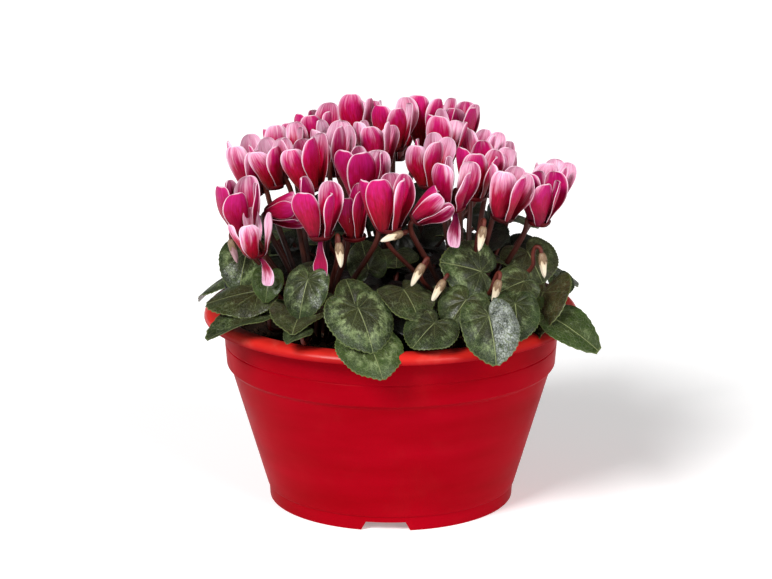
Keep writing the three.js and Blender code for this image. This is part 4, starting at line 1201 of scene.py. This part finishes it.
def bud_patches(bud):
    """Five furled petals wound into a cone, and the calyx over their top."""
    top, hang, inward = bud_frame(bud)
    beside = np.cross(hang, inward)
    angle = np.arange(BUD_SEGMENTS) * math.tau / BUD_SEGMENTS

    def wound(profile, lobes, twist, calyx):
        share = np.linspace(0, 1, BUD_RINGS)
        out, height = np.array(profile).T
        radius = np.maximum(smooth_through(out, share), 0)[:, None]
        height = smooth_through(height, share)[:, None]
        radius = radius * (1 + lobes * np.cos(5 * angle + twist * height / BUD_LENGTH))
        drop = height + calyx * 1.6 * np.cos(5 * angle) * eased(height, 2, 6)
        rows = round_rows(radius, drop, angle)
        whole = np.ones(rows.shape[:2])
        return closed_skin(pointed(rows), {
            "bud_place": np.stack([whole * np.cos(angle), whole * (height / BUD_LENGTH), whole * calyx], -1),
            "bud_purple": whole * bud.get("purple", 0),
        })

    def stand(points):
        return top + points[:, :1] * inward + points[:, 1:2] * beside + points[:, 2:] * hang

    cone = wound(BUD_CONE, lobes=0.09, twist=4.5, calyx=0)
    cover = wound(BUD_CALYX, lobes=0.05, twist=0, calyx=1)
    return [placed(cone, stand), placed(cover, stand)]


def bud_stalk(bud, seed):
    top, hang, inward = bud_frame(bud)
    crook = [top + out * inward - back * hang for out, back in BUD_CROOK]
    return grown(bud["at"], crook[0], FLOWER_STALK_FOOT, seed, crook)


# Leaves in the heart of the bowl, which fill the space under the blooms

def heart_leaf(i):
    """One leaf at a seeded place over the soil, shorter the later it is tried."""
    turn = math.pi * draw(i + 0.1)
    radius = HEART["radius"] * math.sqrt(abs(draw(i + 0.2)))
    behind = max(math.sin(turn), 0) * radius / HEART["radius"]
    height = HEART["low"] + (HEART["rise"] + HEART["rise_behind"] * behind) * abs(draw(i + 0.3))
    return {
        "at": (radius * math.cos(turn), radius * math.sin(turn), height),
        "heading": (-90 if behind > 0.25 else math.degrees(turn)) + 60 * draw(i + 0.4),
        "droop": 14 + 32 * min(behind * 2, 1) + 14 * draw(i + 0.5),
        "roll": 16 * draw(i + 0.6),
        "length": HEART["length"] - HEART["shorter"] * i / HEART["tries"] + 2 * draw(i + 0.7),
        "wave": 1.6,
        "silver": 0.45 + 0.35 * draw(i + 0.8),
        "bronze": 0.25 + 0.25 * draw(i + 0.9),
        # Painted shade: a negative value darkens the blade for the shade in the heart of the bowl, less so
        # towards the back
        "bright": -0.92 + 0.3 * behind,
    }


def heart_leaves(obstacles):
    """The leaves that were tried and kept, because they stay in the bowl and cross nothing."""
    angle = np.linspace(-math.pi, math.pi, 22)
    angle, reach = np.meshgrid(angle, np.array([0.0, 0.35, 0.7, 1.0]))
    kept = []
    for i in range(HEART["tries"]):
        leaf = heart_leaf(i)
        points = leaf_surface(leaf, angle, reach)[0].reshape(-1, 3)
        limit = HEART["low_limit"] if leaf["at"][2] < HEART["high"] else HEART["high_limit"]
        if np.hypot(points[:, 0], points[:, 1]).max() > limit:
            continue
        near = obstacles[np.linalg.norm(obstacles - np.array(leaf["at"]), axis=1) < HEART["near"]]
        gaps = np.linalg.norm(points[:, None] - near[None], axis=2)
        if gaps.size and gaps.min() < HEART["gap"]:
            continue
        kept.append(leaf)
        obstacles = np.vstack([obstacles, points, leaf_stalk(leaf, SEED["heart"] + i)[-12:]])
    return kept


# Studio

def make_studio():
    mesh = bpy.data.meshes.new("floor")
    corners = [(x * FLOOR_HALF, y * FLOOR_HALF, 0) for x, y in ((-1, -1), (1, -1), (1, 1), (-1, 1))]
    mesh.from_pydata(corners, [], [(0, 1, 2, 3)])
    mesh.materials.append(floor_finish())
    floor = new_object("floor", mesh)
    world = bpy.data.worlds.new("studio_air")
    world.use_nodes = True
    air = world.node_tree.nodes["Background"]
    air.inputs["Color"].default_value = (1, 0.98, 0.96, 1)
    air.inputs["Strength"].default_value = AIR_LIGHT
    bpy.context.scene.world = world
    make_lamp("key", *KEY_LAMP)
    make_lamp("fill", *FILL_LAMP)
    bpy.context.scene.view_settings.view_transform = "Standard"


def make_lamp(name, place, strength, width):
    """A sun that looks at the plants from a place, and is as many degrees wide."""
    light = bpy.data.lights.new(name, "SUN")
    light.energy = strength
    light.angle = math.radians(width)
    stand = new_object(name, light)
    stand.location = place
    stand.rotation_euler = (Vector(LAMPS_AIM) - Vector(place)).to_track_quat("-Z", "Y").to_euler()


def make_camera():
    camera = bpy.data.cameras.new("camera")
    camera.lens = CAMERA_LENS
    stand = new_object("camera", camera)
    stand.location = CAMERA_PLACE
    stand.rotation_euler = (math.pi / 2 - CAMERA_PITCH, 0, 0)
    bpy.context.scene.camera = stand


# Pieces

def numbered(name, i):
    return f"{name}_{i + 1:02d}"


def stalks_of(things, path_of, first_seed, radius):
    """The corm, the path and the radius of each thing's stalk."""
    return [(corm_of(thing["at"]), path_of(thing, first_seed + i), radius) for i, thing in enumerate(things)]


def small_leaves(leaves, first_number):
    """The corm and the blade of each small leaf."""
    blades = (leaf_patch(leaf, first_number + i, SMALL_GRID) for i, leaf in enumerate(leaves))
    return [(corm_of(leaf["at"]), blade) for leaf, blade in zip(leaves, blades)]


def points_taken(stalks, young, buds):
    """Points of all that a leaf in the heart of the bowl must not cross."""
    return np.vstack([
        *(leaf_patch(leaf, i, COARSE_GRID)["points"] for i, leaf in enumerate(LEAVES)),
        *(patch["points"][::3] for _, patch in young),
        *(patch["points"][::5] for _, patch in buds),
        *(path[4:] for _, path, _ in stalks),
    ])


def corm_patch(place):
    """A corm: a flattened ball."""
    t = np.linspace(0, math.pi, CORM["rings"])
    ball = CORM["radius"] * np.stack([np.sin(t), -CORM["flatness"] * np.cos(t)], -1)
    return placed(turned(ball, CORM["segments"]), lambda points: points + (*place, CORM["height"]))


# The whole plant

make_camera()
make_studio()
leaf_wax, petal_velvet, stalk_skin = leaf_finish(), petal_finish(), stalk_finish()
bud_ivory, corm_cork = bud_finish(), corm_finish()

make_pot(plastic_finish())
make_soil(peat_finish())

for i, bloom in enumerate(BLOOMS):
    patches = [petal_patch(bloom, number) for number in range(PETALS)] + throat_patches(bloom)
    make_piece(numbered("petals", i), patches, [petal_velvet, stalk_skin], "petal", [numbered("bloom", i)])

for i, leaf in enumerate(LEAVES):
    blade = leaf_patch(leaf, i, LARGE_GRID)
    make_piece(numbered("blade", i), [blade], [leaf_wax], "leaf", [numbered("leaf", i)])

stalks = [
    *stalks_of(BLOOMS, bloom_stalk, SEED["bloom"], FLOWER_STALK_RADIUS),
    *stalks_of(BUDS, bud_stalk, SEED["bud"], LEAF_STALK_RADIUS),
    *stalks_of(LEAVES, leaf_stalk, SEED["leaf"], LEAF_STALK_RADIUS),
    *stalks_of(YOUNG_LEAVES, leaf_stalk, SEED["young"], LEAF_STALK_RADIUS),
]
buds = [(corm_of(bud["at"]), patch) for bud in BUDS for patch in bud_patches(bud)]
young = small_leaves(YOUNG_LEAVES, YOUNG_NUMBER)
heart = heart_leaves(points_taken(stalks, young, buds))
stalks += stalks_of(heart, leaf_stalk, SEED["heart"], LEAF_STALK_RADIUS)
heart = small_leaves(heart, HEART_NUMBER)

shaper = stalk_shaper(stalk_skin)
for i, place in enumerate(CORMS):
    crown = [numbered("crown", i)]
    paths = [(path, radius) for corm, path, radius in stalks if corm == i]
    finish_piece(numbered("stalks", i), stalks_mesh(numbered("stalks", i), paths, shaper), "stalk", crown)
    make_piece(numbered("corm", i), [corm_patch(place)], [corm_cork], "stalk", crown)
    for name, made, material, slot, replaces in (
        ("buds", buds, bud_ivory, "petal", crown),
        ("young_leaves", young, leaf_wax, "leaf", crown),
        ("heart_leaves", heart, leaf_wax, "leaf", []),
    ):
        own = [patch for corm, patch in made if corm == i]
        make_piece(numbered(name, i), own, [material], slot, replaces)
